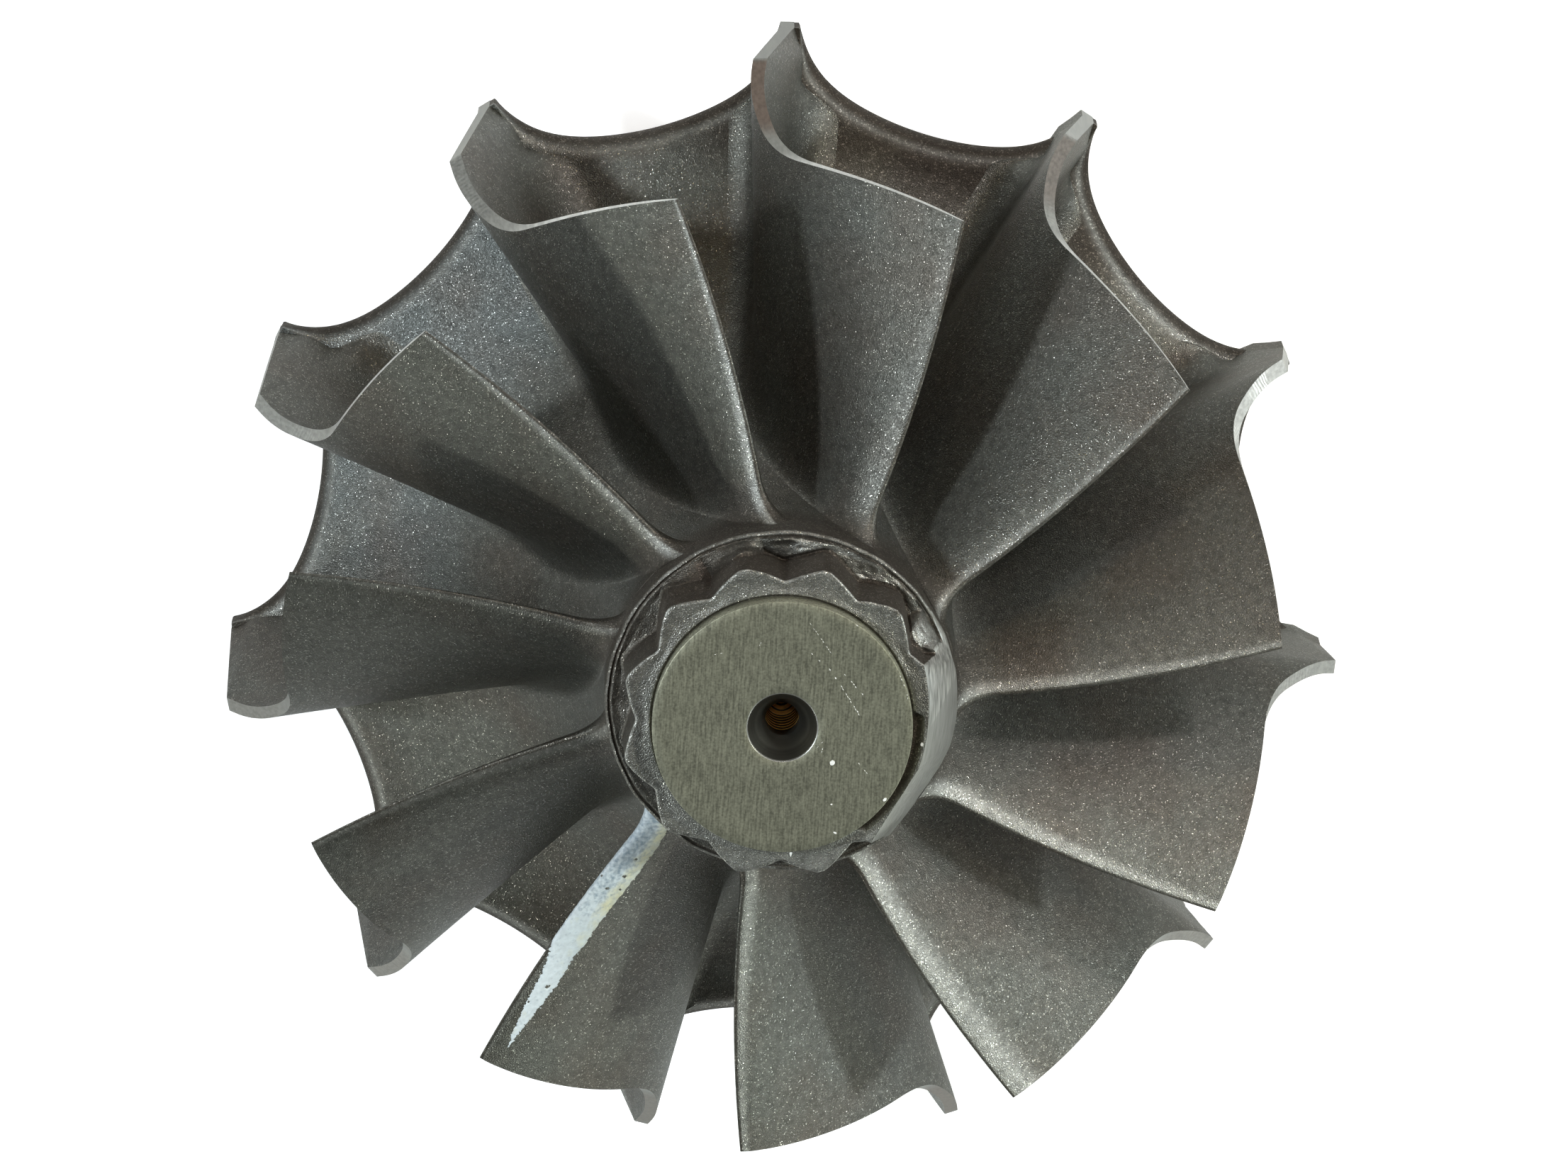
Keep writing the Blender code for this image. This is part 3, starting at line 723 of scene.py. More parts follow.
class Nodes:
    """Adds nodes to the tree of one material or one effect."""

    def __init__(self, tree):
        self.tree = tree

    def feed(self, socket, value):
        """Sets a socket to a value, or links it to the output that feeds it."""
        if isinstance(value, bpy.types.NodeSocket):
            self.tree.links.new(value, socket)
        else:
            socket.default_value = value

    def add(self, kind, sockets=None, **settings):
        """Adds a node and returns its outputs."""
        added = self.tree.nodes.new("ShaderNode" + kind)
        for name, value in settings.items():
            setattr(added, name, value)
        for key, value in (sockets or {}).items():
            self.feed(added.inputs[key], value)
        return added.outputs

    def coordinates(self):
        """Places on the object, in metres."""
        return self.add("TexCoord")["Object"]

    def mark(self, name):
        """A value that make_piece stored at the points."""
        return self.add("Attribute", attribute_name=name)["Fac"]

    def noise(self, where, scale, detail=2.0):
        """Noise around one half."""
        return self.add("TexNoise", {"Vector": where, "Scale": scale, "Detail": detail})["Fac"]

    def math(self, operation, *values):
        """What an operation makes of its values."""
        return self.add("Math", dict(enumerate(values)), operation=operation)[0]

    def times_plus(self, value, factor, rest):
        """The value times the factor, plus the rest."""
        return self.math("MULTIPLY_ADD", value, factor, rest)

    def rescale(self, value, low, high, to_low=0.0, to_high=1.0):
        """Moves a value from one range to another, and stops it at the ends."""
        return self.add("MapRange", {0: value, 1: low, 2: high, 3: to_low, 4: to_high})[0]

    def blend(self, mask, first, second):
        """Mixes two colours by a mask."""
        return self.add("Mix", {0: mask, 6: first, 7: second}, data_type="RGBA")[2]

    def effect(self, name, sockets):
        """Outputs of an effect's node group that has its own values here."""
        return self.add("Group", sockets, node_tree=effect_group(name))

    def surface(self, tone, shade, roughness, metal, bump=None):
        """Feeds the material's shader: a tone times a shade, its gloss, and a bump if it has one.

        bump is (height, strength, distance)."""
        shader = self.tree.nodes["Principled BSDF"].inputs
        shaded = self.add("VectorMath", {0: tone, "Scale": shade}, operation="SCALE")[0]
        self.feed(shader["Base Color"], shaded)
        self.feed(shader["Roughness"], roughness)
        self.feed(shader["Metallic"], metal)
        if bump:
            height, strength, distance = bump
            raised = self.add("Bump", {"Strength": strength, "Distance": distance, "Height": height})
            self.feed(shader["Normal"], raised[0])


# Effects: what each group puts out from what it is given

def cast_grain(nodes, given):
    """Cast grain: a shade around one with bright specks, a height and a roughness that vary."""
    where = nodes.coordinates()
    scale = nodes.math("DIVIDE", 1.0, given["Grain"])
    cells = nodes.add("TexVoronoi", {"Vector": where, "Scale": scale, "Randomness": 1.0})
    lone = nodes.add("SeparateColor", {0: cells["Color"]})[0]
    speck = nodes.rescale(lone, 0.84, 1.0)
    fine = nodes.noise(where, scale)
    coarse = nodes.noise(where, nodes.math("MULTIPLY", scale, 0.16), 3.0)
    centred = nodes.math("SUBTRACT", nodes.math("ADD", fine, coarse), 1.0)
    even = nodes.times_plus(centred, given["Contrast"], 1.0)
    return {
        "Shade": nodes.times_plus(speck, given["Sparkle"], even),
        "Height": nodes.times_plus(cells["Distance"], 0.8, fine),
        "Roughness": nodes.times_plus(speck, -0.18, given["Roughness"]),
    }


def heat_tint(nodes, given):
    """Heat tint: a soft cloudy mask."""
    scale = nodes.math("DIVIDE", 1.0, given["Patch"])
    cloud = nodes.noise(nodes.coordinates(), scale, 4.0)
    return {"Mask": nodes.rescale(cloud, 0.42, 0.68, 0.0, given["Amount"])}


def turned_rings(nodes, given):
    """Turned rings round the axis: a shade around one and a height."""
    apart = nodes.add("SeparateXYZ", {0: nodes.coordinates()})
    flat = nodes.add("CombineXYZ", {0: apart[0], 1: apart[1]})[0]
    radius = nodes.add("VectorMath", {0: flat}, operation="LENGTH")["Value"]
    profile = nodes.add("CombineXYZ", {0: radius, 1: 0.0, 2: apart[2]})[0]
    streaks = nodes.noise(profile, given["Fineness"], 3.0)
    return {"Shade": nodes.rescale(streaks, 0.3, 0.7, 0.75, 1.25), "Height": streaks}


def grinding_streaks(nodes, given):
    """Grinding streaks: noise drawn out one way."""
    sockets = {"Vector": nodes.coordinates(), "Rotation": given["Turn"], "Scale": given["Squeeze"]}
    drawn = nodes.add("Mapping", sockets)[0]
    return {"Streaks": nodes.noise(drawn, given["Fineness"], given["Detail"])}


# Each effect's function, and the inputs of its group with their defaults
EFFECTS = {
    "Cast grain": (cast_grain, {"Grain": 0.0002, "Contrast": 0.3, "Sparkle": 1.0, "Roughness": 0.45}),
    "Heat tint": (heat_tint, {"Amount": 0.5, "Patch": 0.012}),
    "Turned rings": (turned_rings, {"Fineness": 2500.0}),
    "Grinding streaks": (
        grinding_streaks,
        {"Squeeze": (1.0, 1.0, 1.0), "Turn": (0.0, 0.0, 0.0), "Fineness": 4000.0, "Detail": 3.0},
    ),
}


def effect_group(name):
    """An effect's node group, made the first time that it is asked for."""
    if name in bpy.data.node_groups:
        return bpy.data.node_groups[name]
    build, inputs = EFFECTS[name]
    tree = bpy.data.node_groups.new(name, "ShaderNodeTree")
    for key, default in inputs.items():
        kind = "NodeSocketVector" if isinstance(default, tuple) else "NodeSocketFloat"
        tree.interface.new_socket(key, in_out="INPUT", socket_type=kind).default_value = default
    outputs = build(Nodes(tree), tree.nodes.new("NodeGroupInput").outputs)
    for key in outputs:
        tree.interface.new_socket(key, in_out="OUTPUT", socket_type="NodeSocketFloat")
    end = tree.nodes.new("NodeGroupOutput")
    for key, value in outputs.items():
        tree.links.new(value, end.inputs[key])
    return tree


# Materials

def material(name, build, *given):
    """A material whose nodes a function adds, made the first time that it is asked for."""
    if name not in bpy.data.materials:
        made = bpy.data.materials.new(name)
        made.use_nodes = True
        build(Nodes(made.node_tree), *given)
    return bpy.data.materials[name]


def full(tone):
    return (*tone, 1.0)


def cast_alloy(nodes, alloy):
    """Shot-blasted nickel casting: dark grey grain, sparkle, brown in places, wear and painted highlights."""
    grain = nodes.effect("Cast grain", {
        "Grain": alloy.grain, "Contrast": 1.0, "Sparkle": alloy.sparkle, "Roughness": alloy.cast_roughness,
    })
    tint = nodes.effect("Heat tint", {"Amount": alloy.tint_share, "Patch": 0.009})["Mask"]
    brown = nodes.mark("brown")
    # Painted cool light: a lighter bluish colour where the cool_light mark is set
    tone = nodes.blend(nodes.mark("cool_light"), full(alloy.cast_colour), full(alloy.cool_light))
    tone = nodes.blend(tint, tone, full(alloy.tint))
    # Brown: oxide and heat tint, and painted shade at the rim, edge ends, some blade backs and end groove
    tone = nodes.blend(brown, tone, full(alloy.brown))
    # Wear and painted highlights lighten it towards the ground colour
    tone = nodes.blend(nodes.mark("wear_and_sheen"), tone, full(alloy.ground_colour))
    roughness = nodes.times_plus(brown, 0.25, grain["Roughness"])
    nodes.surface(tone, grain["Shade"], roughness, alloy.metal, (grain["Height"], 0.65, 0.00005))


def ground_strip(nodes, alloy):
    """Ground blade tips: duller streaks across the strip, chatter marks in places, and a painted highlight.
    """
    where = nodes.coordinates()
    streaks = nodes.effect("Grinding streaks", {"Squeeze": (1.0, 1.0, 0.1), "Fineness": 4000.0})[0]
    wave = {"Vector": where, "Scale": 1100.0, "Distortion": 4.0, "Detail": 1.0}
    chatter = nodes.add("TexWave", wave, bands_direction="Z")["Fac"]
    marked = nodes.rescale(nodes.noise(where, 260.0), 0.52, 0.62)
    # strip_light: how much of the strip's painted highlight shows
    light = nodes.mark("strip_light")
    ridges = nodes.math("MULTIPLY", chatter, nodes.math("MULTIPLY", marked, light))
    tone = nodes.blend(light, full(alloy.strip_colour), full(alloy.strip_sheen))
    tone = nodes.blend(nodes.mark("strip_tint"), tone, full(alloy.strip_tint))
    shade = nodes.times_plus(ridges, 0.5, nodes.rescale(streaks, 0.3, 0.7, 0.8, 1.2))
    height = nodes.times_plus(ridges, 2.0, streaks)
    roughness = nodes.rescale(streaks, 0.3, 0.7, 0.36, 0.46)
    nodes.surface(tone, shade, roughness, alloy.metal, (height, 0.5, 0.00003))


def ground_crescent(nodes, alloy):
    """Crescent ground off the nose: streaks along the grinding, with one flat painted lighter than the other.
    """
    streaks = nodes.effect("Grinding streaks", {"Squeeze": (1.0, 0.07, 0.6), "Fineness": 4500.0})[0]
    sockets = {0: nodes.coordinates(), 1: FACET_NORMAL}
    side = nodes.add("VectorMath", sockets, operation="DOT_PRODUCT")["Value"]
    upper = nodes.rescale(side, FACET_PLACE, FACET_PLACE + 0.0002)
    depth = nodes.times_plus(upper, 0.45, 0.18)
    lines = nodes.math("MULTIPLY", nodes.math("SUBTRACT", streaks, 0.5), depth)
    # The upper flat is painted lighter, as light would fall on a flat of its own tilt
    shade = nodes.times_plus(lines, 3.4, nodes.times_plus(upper, 0.10, 0.78))
    nodes.surface(tuple(alloy.ground_colour), shade, 0.5, 0.6, (lines, 0.8, 0.00004))


def machined_face(nodes, alloy):
    """Lapped end of the nose: olive-grey metal with short fine streaks that all run one way."""
    where = nodes.coordinates()
    streaks = nodes.effect("Grinding streaks", {
        "Squeeze": (1.0, 0.09, 1.0), "Turn": (0.0, 0.0, math.radians(8.6)), "Fineness": 7000.0, "Detail": 2.0,
    })[0]
    mixed = nodes.times_plus(nodes.noise(where, 6500.0, 1.0), 0.7, streaks)
    clouded = nodes.times_plus(nodes.noise(where, 260.0, 3.0), 0.2, mixed)
    shade = nodes.rescale(clouded, 0.70, 1.20, 0.62, 1.40)
    nodes.surface(tuple(alloy.machined_colour), shade, 0.45, alloy.metal, (mixed, 0.5, 0.00001))


def turned_metal(nodes, tone, roughness, metal, fineness=2500.0):
    """Turned metal: fine rings round the axis."""
    rings = nodes.effect("Turned rings", {"Fineness": fineness})
    nodes.surface(tuple(tone), rings["Shade"], roughness, metal, (rings["Height"], 0.4, 0.00002))


def pale_dust(nodes):
    """Pale dust."""
    shade = nodes.rescale(nodes.noise(nodes.coordinates(), 9000.0), 0.3, 0.7, 0.8, 1.0)
    nodes.surface((0.9, 0.9, 0.88), shade, 0.8, 0.0)


def marking_paint(nodes, paint):
    """Marking paint: pale, cream along one side, with grey blotches where the metal shows through."""
    where = nodes.coordinates()
    streaks = nodes.noise(where, 2600.0, 4.0)
    bared = nodes.times_plus(nodes.mark("thin"), 0.34, nodes.noise(where, 3200.0, 4.0))
    wear_and_sheen = nodes.rescale(bared, 0.58, 0.95, 0.0, 0.9)
    yellowed = nodes.times_plus(nodes.mark("cream"), 0.45, nodes.noise(where, 900.0, 3.0))
    creamy = nodes.rescale(yellowed, 0.60, 1.05)
    tone = nodes.blend(creamy, full(paint.paint_colour), full(paint.cream_colour))
    tone = nodes.blend(wear_and_sheen, tone, full(paint.thin_colour))
    shade = nodes.rescale(streaks, 0.3, 0.7, 0.86, 1.06)
    roughness = nodes.rescale(streaks, 0.3, 0.7, 0.42, 0.58)
    nodes.surface(tone, shade, roughness, 0.0, (streaks, 0.5, 0.00003))


def pale_floor(nodes, tone):
    """Pale floor that looks evenly lit to the camera."""
    shader = nodes.tree.nodes["Principled BSDF"].inputs
    nodes.feed(shader["Base Color"], full(tone))
    nodes.feed(shader["Roughness"], 0.9)
    nodes.feed(shader["Emission Color"], (0.6, 0.6, 0.6, 1.0))
    nodes.feed(shader["Emission Strength"], nodes.add("LightPath")["Is Camera Ray"])


# Zones of the disc: first and last angle in degrees, and the width of their soft ends
BURNT_DISC = (-128, -82, 12.0)
# Zone of the disc where cool light is painted as a lighter bluish colour
COOL_LIT_DISC = (-50, -5, 18.0)
# Fillet round the weld boss: its width, and the hair left between it and the boss
BOSS_FILLET = 0.0022
BOSS_GAP = 0.00015
# How far the disc's rings lean towards even steps round the axis
EVEN_STEPS = 0.04
# Heights where the hub and the blades' feet turn brown towards the nose, each with its soft width
HUB_BROWN = (0.0435, 0.003)
FOOT_BROWN = (0.0425, 0.003)
# Share of a blade's length after which it counts as its trailing part
TRAILING_PART = 0.45


def circle(size, angle):
    """Points in plan at radii and angles."""
    return size * np.stack([np.cos(angle), np.sin(angle)], axis=-1)


def mirrored(half, whole):
    """A rising half from 0 to the middle, and its mirror image up to the whole."""
    return np.concatenate([half, whole - half[-2:0:-1]])


def round_the_wheel(pitch):
    """Angles within one blade's pitch, repeated for all the blades."""
    return np.concatenate([k * PITCH + pitch for k in range(BLADE_COUNT)])


def disc_plan(disc):
    """Radius of the scalloped edge, the edge and the ring inside its rounding, and that ring's angles."""
    half = np.concatenate([
        np.linspace(0, 0.028, 8)[:-1], np.linspace(0.028, 0.12, 12)[:-1], np.linspace(0.12, 0.5, 18),
    ])
    angle = round_the_wheel(mirrored(half, 1) * PITCH)
    radius = np.minimum(rim_radius(angle), WHEEL_RADIUS - TUCK)
    edge = circle(radius[:, None], angle)
    run = np.roll(edge, -1, axis=0) - np.roll(edge, 1, axis=0)
    inward = np.stack([-run[:, 1], run[:, 0]], axis=-1) / np.hypot(*run.T)[:, None]
    inset = edge + inward * rim_rounding(radius, disc)[:, None]
    half_turn = np.maximum.accumulate(np.arctan2(inset[:, 1], inset[:, 0])[:len(half)])
    inset_angle = round_the_wheel(mirrored(mix(half_turn, half * PITCH, EVEN_STEPS), PITCH))
    return radius, edge, circle(np.hypot(*inset.T)[:, None], inset_angle), inset_angle


class WHEEL_OT_cast_body(bpy.types.Operator):
    """Casts the hub, its flare and the scalloped back disc"""

    bl_idname = "turbine_wheel.cast_body"
    bl_label = "Cast hub and back disc"

    def execute(self, context):
        disc, alloy = context.scene.wheel_disc, context.scene.wheel_alloy
        radius, edge, inset, angle = disc_plan(disc)
        count = len(angle)
        rings, tones = [], []

        def add_ring(plan, height, wear_and_sheen=0.0, brown=0.0):
            rings.append(np.concatenate([plan, np.broadcast_to(height, (count,))[:, None]], axis=1))
            tones.append([np.broadcast_to(tone, (count,)) for tone in (wear_and_sheen, brown)])

        # Hub, from the collar down to the disc
        last = math.acos((BACK_PLANE + HUB_CREST - COLLAR_FOOT) / (HUB_CREST - HUB_FOOT))
        first = math.asin((WHEEL_RADIUS - FLARE_RADIUS) / (WHEEL_RADIUS - HUB_RADIUS))
        for size in (HUB_RADIUS * 0.6, HUB_RADIUS - 0.0002):
            add_ring(circle(size, angle), COLLAR_FOOT + 0.0002)
        for turn in np.linspace(last, first, 48):
            size, height = hub_contour(turn)
            add_ring(circle(size, angle), height, brown=0.7 * float(rise(height, *HUB_BROWN)))

        # Front of the disc, its rounded rim and its back
        flare = circle(FLARE_RADIUS, angle)
        for step in np.linspace(0, 1, 22)[1:]:
            plan = mix(flare, inset, step)
            add_ring(plan, hub_height(np.hypot(*plan.T)))
        middle = (hub_height(radius) + BACK_PLANE) / 2
        for turn in np.linspace(0, 180, 19)[1:]:
            sine, cosine = math.sin(math.radians(turn)), abs(math.cos(math.radians(turn)))
            plan = mix(edge, inset, 1 - sine)
            surface = hub_height(np.hypot(*plan.T)) if turn < 90 else BACK_PLANE
            # Painted highlight about a third of the way round the rim's rounding
            wear_and_sheen = 0.45 * math.exp(-((turn - 30) / 9) ** 2)
            # Brown further round, partly heat tint and partly painted shade where the rim turns down
            brown = 0.85 * float(rise(turn, 38, 20))
            add_ring(plan, mix(middle, surface, cosine), wear_and_sheen, brown)
        for step in np.linspace(0, 1, 11)[1:]:
            plan = mix(inset, flare, step)
            add_ring(plan, back_height(np.hypot(*plan.T)))

        # Back of the hub, down to the weld boss
        for size in np.linspace(FLARE_RADIUS, BOSS_RADIUS + BOSS_FILLET, 12)[1:]:
            add_ring(circle(size, angle), back_height(size))
        fall = back_height(BOSS_RADIUS + BOSS_FILLET)
        for turn in np.radians(np.linspace(0, 90, 7))[1:]:
            size = BOSS_RADIUS + BOSS_GAP + (BOSS_FILLET - BOSS_GAP) * (1 - math.sin(turn))
            add_ring(circle(size, angle), mix(fall, BOSS_TOP, 1 - math.cos(turn)))
        add_ring(circle(BOSS_RADIUS - 0.0004, angle), BOSS_TOP)

        points = turn_about_axis(np.stack(rings), FIRST_BLADE)
        wear_and_sheen, brown = np.moveaxis(np.array(tones), 1, 0)
        around = np.arctan2(points[..., 1], points[..., 0])
        out = np.hypot(points[..., 0], points[..., 1])
        brown = brown + 0.85 * between(around, *BURNT_DISC) * rise(out, 0.031, 0.004)
        # Painted cool light on the disc's left part, towards its rim
        cool_light = 0.9 * between(around, *COOL_LIT_DISC) * rise(out, 0.022, 0.008)
        marks = {"wear_and_sheen": wear_and_sheen, "brown": np.minimum(brown, 1.0), "cool_light": cool_light}
        rows = len(rings)
        faces = grid_faces(rows, count, closed=True).tolist()
        faces += [list(range(count)), list(range((rows - 1) * count, rows * count))]
        finishes = [material("Cast alloy", cast_alloy, alloy)]
        piece = make_piece("cast_hub_and_disc", points, faces, finishes, marks=marks)
        dress(piece, "cast_alloy", "hub_core", "hub_flare", "back_disc")
        return {"FINISHED"}


# Each blade's painted highlight along its trailing edge: its width in millimetres at the root and
# at the tip, and its strength
EDGE_SHINE = (
    (0.6, 0.22, 0.85), (1.1, 0.7, 0.18), (0.5, 0.3, 0.6), (0.7, 0.4, 0.6), (1.0, 0.5, 0.8), (1.1, 1.7, 0.8),
    (0.9, 0.4, 0.75), (0.6, 0.3, 0.45), (0.7, 0.3, 0.55), (0.5, 0.25, 0.35), (0.7, 0.25, 0.8),
)
# Blades darkened with brown beside the trailing edge, by its strength on the front and on the back:
# brown tint on blades 4 and 6, painted shade on the backs of blades 2 and 8
BLADE_TINT_AND_SHADE = {2: (0.0, 0.3), 4: (0.08, 0.2), 6: (0.12, 0.0), 8: (0.0, 0.3)}
# Each blade's ground strip: how much painted highlight it has, how bronze it is, and how much
# painted highlight along the trailing part
STRIP_TONES = (
    (0.15, 0.0, 0.9), (0.0, 0.8, 0.7), (0.25, 0.45, 0.7), (0.9, 0.0, 0.4), (0.35, 0.0, 0.4), (0.2, 0.2, 0.3),
    (0.0, 0.4, 0.3), (0.0, 0.3, 0.3), (0.1, 0.2, 0.3), (0.1, 0.1, 0.4), (0.25, 0.0, 0.8),
)


def arc_from(grid, column):
    """Length along a grid's columns from one of them, counted towards the first."""
    steps = np.linalg.norm(np.diff(grid, axis=0), axis=-1)
    run = np.concatenate([np.zeros((1, grid.shape[1])), np.cumsum(steps, axis=0)])
    return run[column] - run


class WHEEL_OT_cast_blades(bpy.types.Operator):
    """Casts the eleven blades and grinds their tips"""

    bl_idname = "turbine_wheel.cast_blades"
    bl_label = "Cast blades"

    def execute(self, context):
        blade, disc, alloy = context.scene.wheel_blades, context.scene.wheel_disc, context.scene.wheel_alloy
        from_start, from_edge = blade_columns(0, 96, 15)
        fillet_turn = math.pi / 2 * (1 - np.linspace(0, 1, 16) ** 1.4)
        lift_angle, upper = blade_rows(fillet_turn, 26, 1)
        sides = []
        for side in (1, -1):
            points = blade_points(from_start, from_edge, lift_angle, upper, side, blade, disc)
            below = points[:, :1].copy()
            below[..., 2] = BACK_PLANE + TUCK
            points[:, 0, 2] -= FOOT_TUCK
            sides.append(np.concatenate([below, points], axis=1))
        columns, rows = sides[0].shape[:2]
        ring = np.concatenate([sides[0], sides[1][:, ::-1]], axis=1)
        from_end = arc_from(ring, columns - 1) * 1000
        climb = np.concatenate([[0, *upper[0]], [*upper[0, ::-1], 0]])
        lifted = np.array([1.0, *np.sin(lift_angle[0])])
        foot_share = np.concatenate([lifted, lifted[::-1]])
        facing = np.repeat((1.0, 0.0), rows)
        faces = grid_faces(columns, 2 * rows, closed=True)
        finish = np.zeros((columns - 1, 2 * rows), dtype=int)
        finish[:, rows - 1] = 1
        front = [[k, k + 1, 2 * rows - 2 - k, 2 * rows - 1 - k] for k in range(rows - 1)]
        faces = faces.tolist() + front
        finish = finish.ravel().tolist() + [1] * len(front)
        finishes = [material("Cast alloy", cast_alloy, alloy), material("Ground strip", ground_strip, alloy)]
        start = np.broadcast_to(from_start, ring.shape[:2])
        trailing = rise(start, TRAILING_PART, 0.3)
        near_nose = 0.7 * foot_share * rise(ring[..., 2], *FOOT_BROWN)
        # Painted shade: a thin dark line at the end of the trailing edge's rounding
        edge_shade = 0.45 * (1 - rise(from_end, 0.03, 0.10))
        for index in range(BLADE_COUNT):
            root_shine, tip_shine, strength = EDGE_SHINE[index]
            # Painted highlight: a band along the trailing edge that fades away from its end
            faded = rise(from_end / mix(root_shine, tip_shine, climb), 0.6, 1.4)
            shine = rise(from_end, 0.08, 0.10) * (1 - faded)
            front_darkening, back_darkening = BLADE_TINT_AND_SHADE.get(index + 1, (0.0, 0.0))
            # Brown tint, painted shade on the backs of blades 2 and 8, and heat tint at the feet near the
            # nose
            tint_and_shade = np.maximum(mix(back_darkening, front_darkening, facing) * trailing, near_nose)
            # Share of painted highlight on the ground strip, and its bronze tint
            light, tint, brow = STRIP_TONES[index]
            marks = {
                "wear_and_sheen": 0.95 * strength * facing * shine,
                "brown": np.maximum(edge_shade, tint_and_shade),
                "strip_light": mix(light, brow, rise(start, TRAILING_PART, 0.15)),
                "strip_tint": tint * rise(start, 0, 0.02) * (1 - rise(start, 0.28, 0.12)),
            }
            number = f"{index + 1:02d}"
            points = turn_about_axis(ring, FIRST_BLADE - index * PITCH)
            piece = make_piece(
                "cast_blade_" + number, points, faces, finishes, finish, math.radians(50), marks=marks
            )
            dress(piece, "cast_alloy", "blade_" + number)
        return {"FINISHED"}


# Brush stroke: how far up the blade, from -1 at the fillet's foot over 0 at its upper end to 1 at
# the tip, and the stroke's two edges in millimetres along the surface from the trailing edge's end,
# negative past it
PAINTED_BLADE = 8
STROKE = (
    (-1.0, -0.9, 1.70), (-0.5, -0.9, 2.15), (0.0, -0.8, 2.45), (0.10, -0.8, 2.62), (0.18, -0.8, 2.65),
    (0.27, -0.7, 2.50), (0.34, -0.7, 2.50), (0.42, -0.6, 2.60), (0.47, -0.3, 2.50), (0.52, 0.10, 2.42),
    (0.56, 0.42, 2.50), (0.60, 0.58, 2.50), (0.67, 0.76, 2.40), (0.75, 0.98, 2.20), (0.82, 1.20, 1.98),
    (0.87, 1.38, 1.78), (0.905, 1.62, 1.66), (1.0, 2.2, 1.2),
)
# Sizes of the stroke's ragged edge, of its slow waves and of the bare flaws in it, and the level
# of noise above which a flaw shows
RAGGED_LUMP = 0.00017
SLOW_LUMP = 0.0009
FLAW_LUMP = 0.00030
FLAW_LEVEL = 0.66
# How deep the film's back lies in the blade, and the share of its thickness at its edge
FILM_ROOT = 0.00002
FILM_EDGE = 0.25


class WHEEL_OT_brush_paint(bpy.types.Operator):
    """Brushes the pale stroke along one blade's trailing edge"""

    bl_idname = "turbine_wheel.brush_paint"
    bl_label = "Brush paint"

    def execute(self, context):
        blade, disc, paint = context.scene.wheel_blades, context.scene.wheel_disc, context.scene.wheel_paint
        from_start, from_edge = blade_columns(0.92, 80, 26)
        lift_angle, upper = blade_rows(np.linspace(math.pi / 2, 0, 18), 230, 0.96)
        near = blade_points(from_start, from_edge, lift_angle, upper, 1, blade, disc)
        turn_back = np.linspace(math.pi / 2, 0.45, 16)[1:, None]
        far = blade_points(np.ones_like(turn_back), turn_back, lift_angle, upper, -1, blade, disc)
        points = turn_about_axis(np.concatenate([near, far]), FIRST_BLADE - (PAINTED_BLADE - 1) * PITCH)
        from_end = arc_from(points, len(near) - 1)
        climb = np.where(lift_angle > 0, -lift_angle / (math.pi / 2), upper)[0]
        up, first, second = np.array(STROKE).T
        left, right = np.interp(climb, up, first) / 1000, np.interp(climb, up, second) / 1000
        ragged = roughness_at(points, RAGGED_LUMP)
        slow = roughness_at(points, SLOW_LUMP, 4.0)
        inside = np.minimum(
            right + 0.00022 * ragged + 0.00010 * slow - from_end,
            from_end - left + (0.00020 * ragged + 0.00005 * slow) * (left > 0),
        )
        inside = np.where(roughness_at(points, FLAW_LUMP, 9.0) > FLAW_LEVEL, -1.0, inside)
        across = np.clip((from_end - left) / (right - left), 0, 1)
        thin = (1 - rise(climb, 0.10, 0.4)) * (1 - np.abs(across - 0.40) / 0.60).clip(0, 1)
        cream = rise(across, 0.45, 0.4) * (1 - rise(climb, 0.20, 0.4))
        self.lay_film(points, inside, paint, {"thin": thin, "cream": cream})
        return {"FINISHED"}

    def lay_film(self, points, inside, paint, marks):
        """A closed film over the part of a grid where inside is above zero."""
        columns, rows = inside.shape
        corners = grid_faces(columns, rows)
        kept = corners[inside.ravel()[corners].mean(axis=1) > 0]
        run, climb = np.gradient(points, axis=0), np.gradient(points, axis=1)
        normal = np.cross(run, climb).reshape(-1, 3)
        normal /= np.maximum(np.linalg.norm(normal, axis=1), 1e-12)[:, None]
        flat = points.reshape(-1, 3)
        middle = kept[len(kept) // 2][0]
        if np.dot(normal[middle], np.cross((0, 0, 1), flat[middle])) < 0:
            normal = -normal
        used = np.bincount(kept.ravel(), minlength=len(flat))
        streak = 1 + 0.45 * roughness_at(flat, 0.0003, 2.0)
        lift = paint.film * np.where(used < 4, FILM_EDGE, streak)
        upper_side, lower_side = flat + normal * lift[:, None], flat - normal * FILM_ROOT
        edges = {}
        for face in kept.tolist():
            for a, b in zip(face, face[1:] + face[:1]):
                if (b, a) in edges:
                    del edges[b, a]
                else:
                    edges[a, b] = True
        count = len(flat)
        faces = kept.tolist() + [[k + count for k in reversed(face)] for face in kept.tolist()]
        faces += [[b, a, a + count, b + count] for a, b in edges]
        every = np.concatenate([upper_side, lower_side])
        numbers = np.unique(np.concatenate([kept.ravel(), kept.ravel() + count]))
        renumber = np.full(2 * count, -1)
        renumber[numbers] = np.arange(len(numbers))
        faces = [[int(renumber[k]) for k in face] for face in faces]
        marks = {name: np.tile(values.ravel(), 2)[numbers] for name, values in marks.items()}
        finishes = [material("Marking paint", marking_paint, paint)]
        piece = make_piece("paint_stroke", every[numbers], faces, finishes, marks=marks)
        dress(piece, "balance_paint")


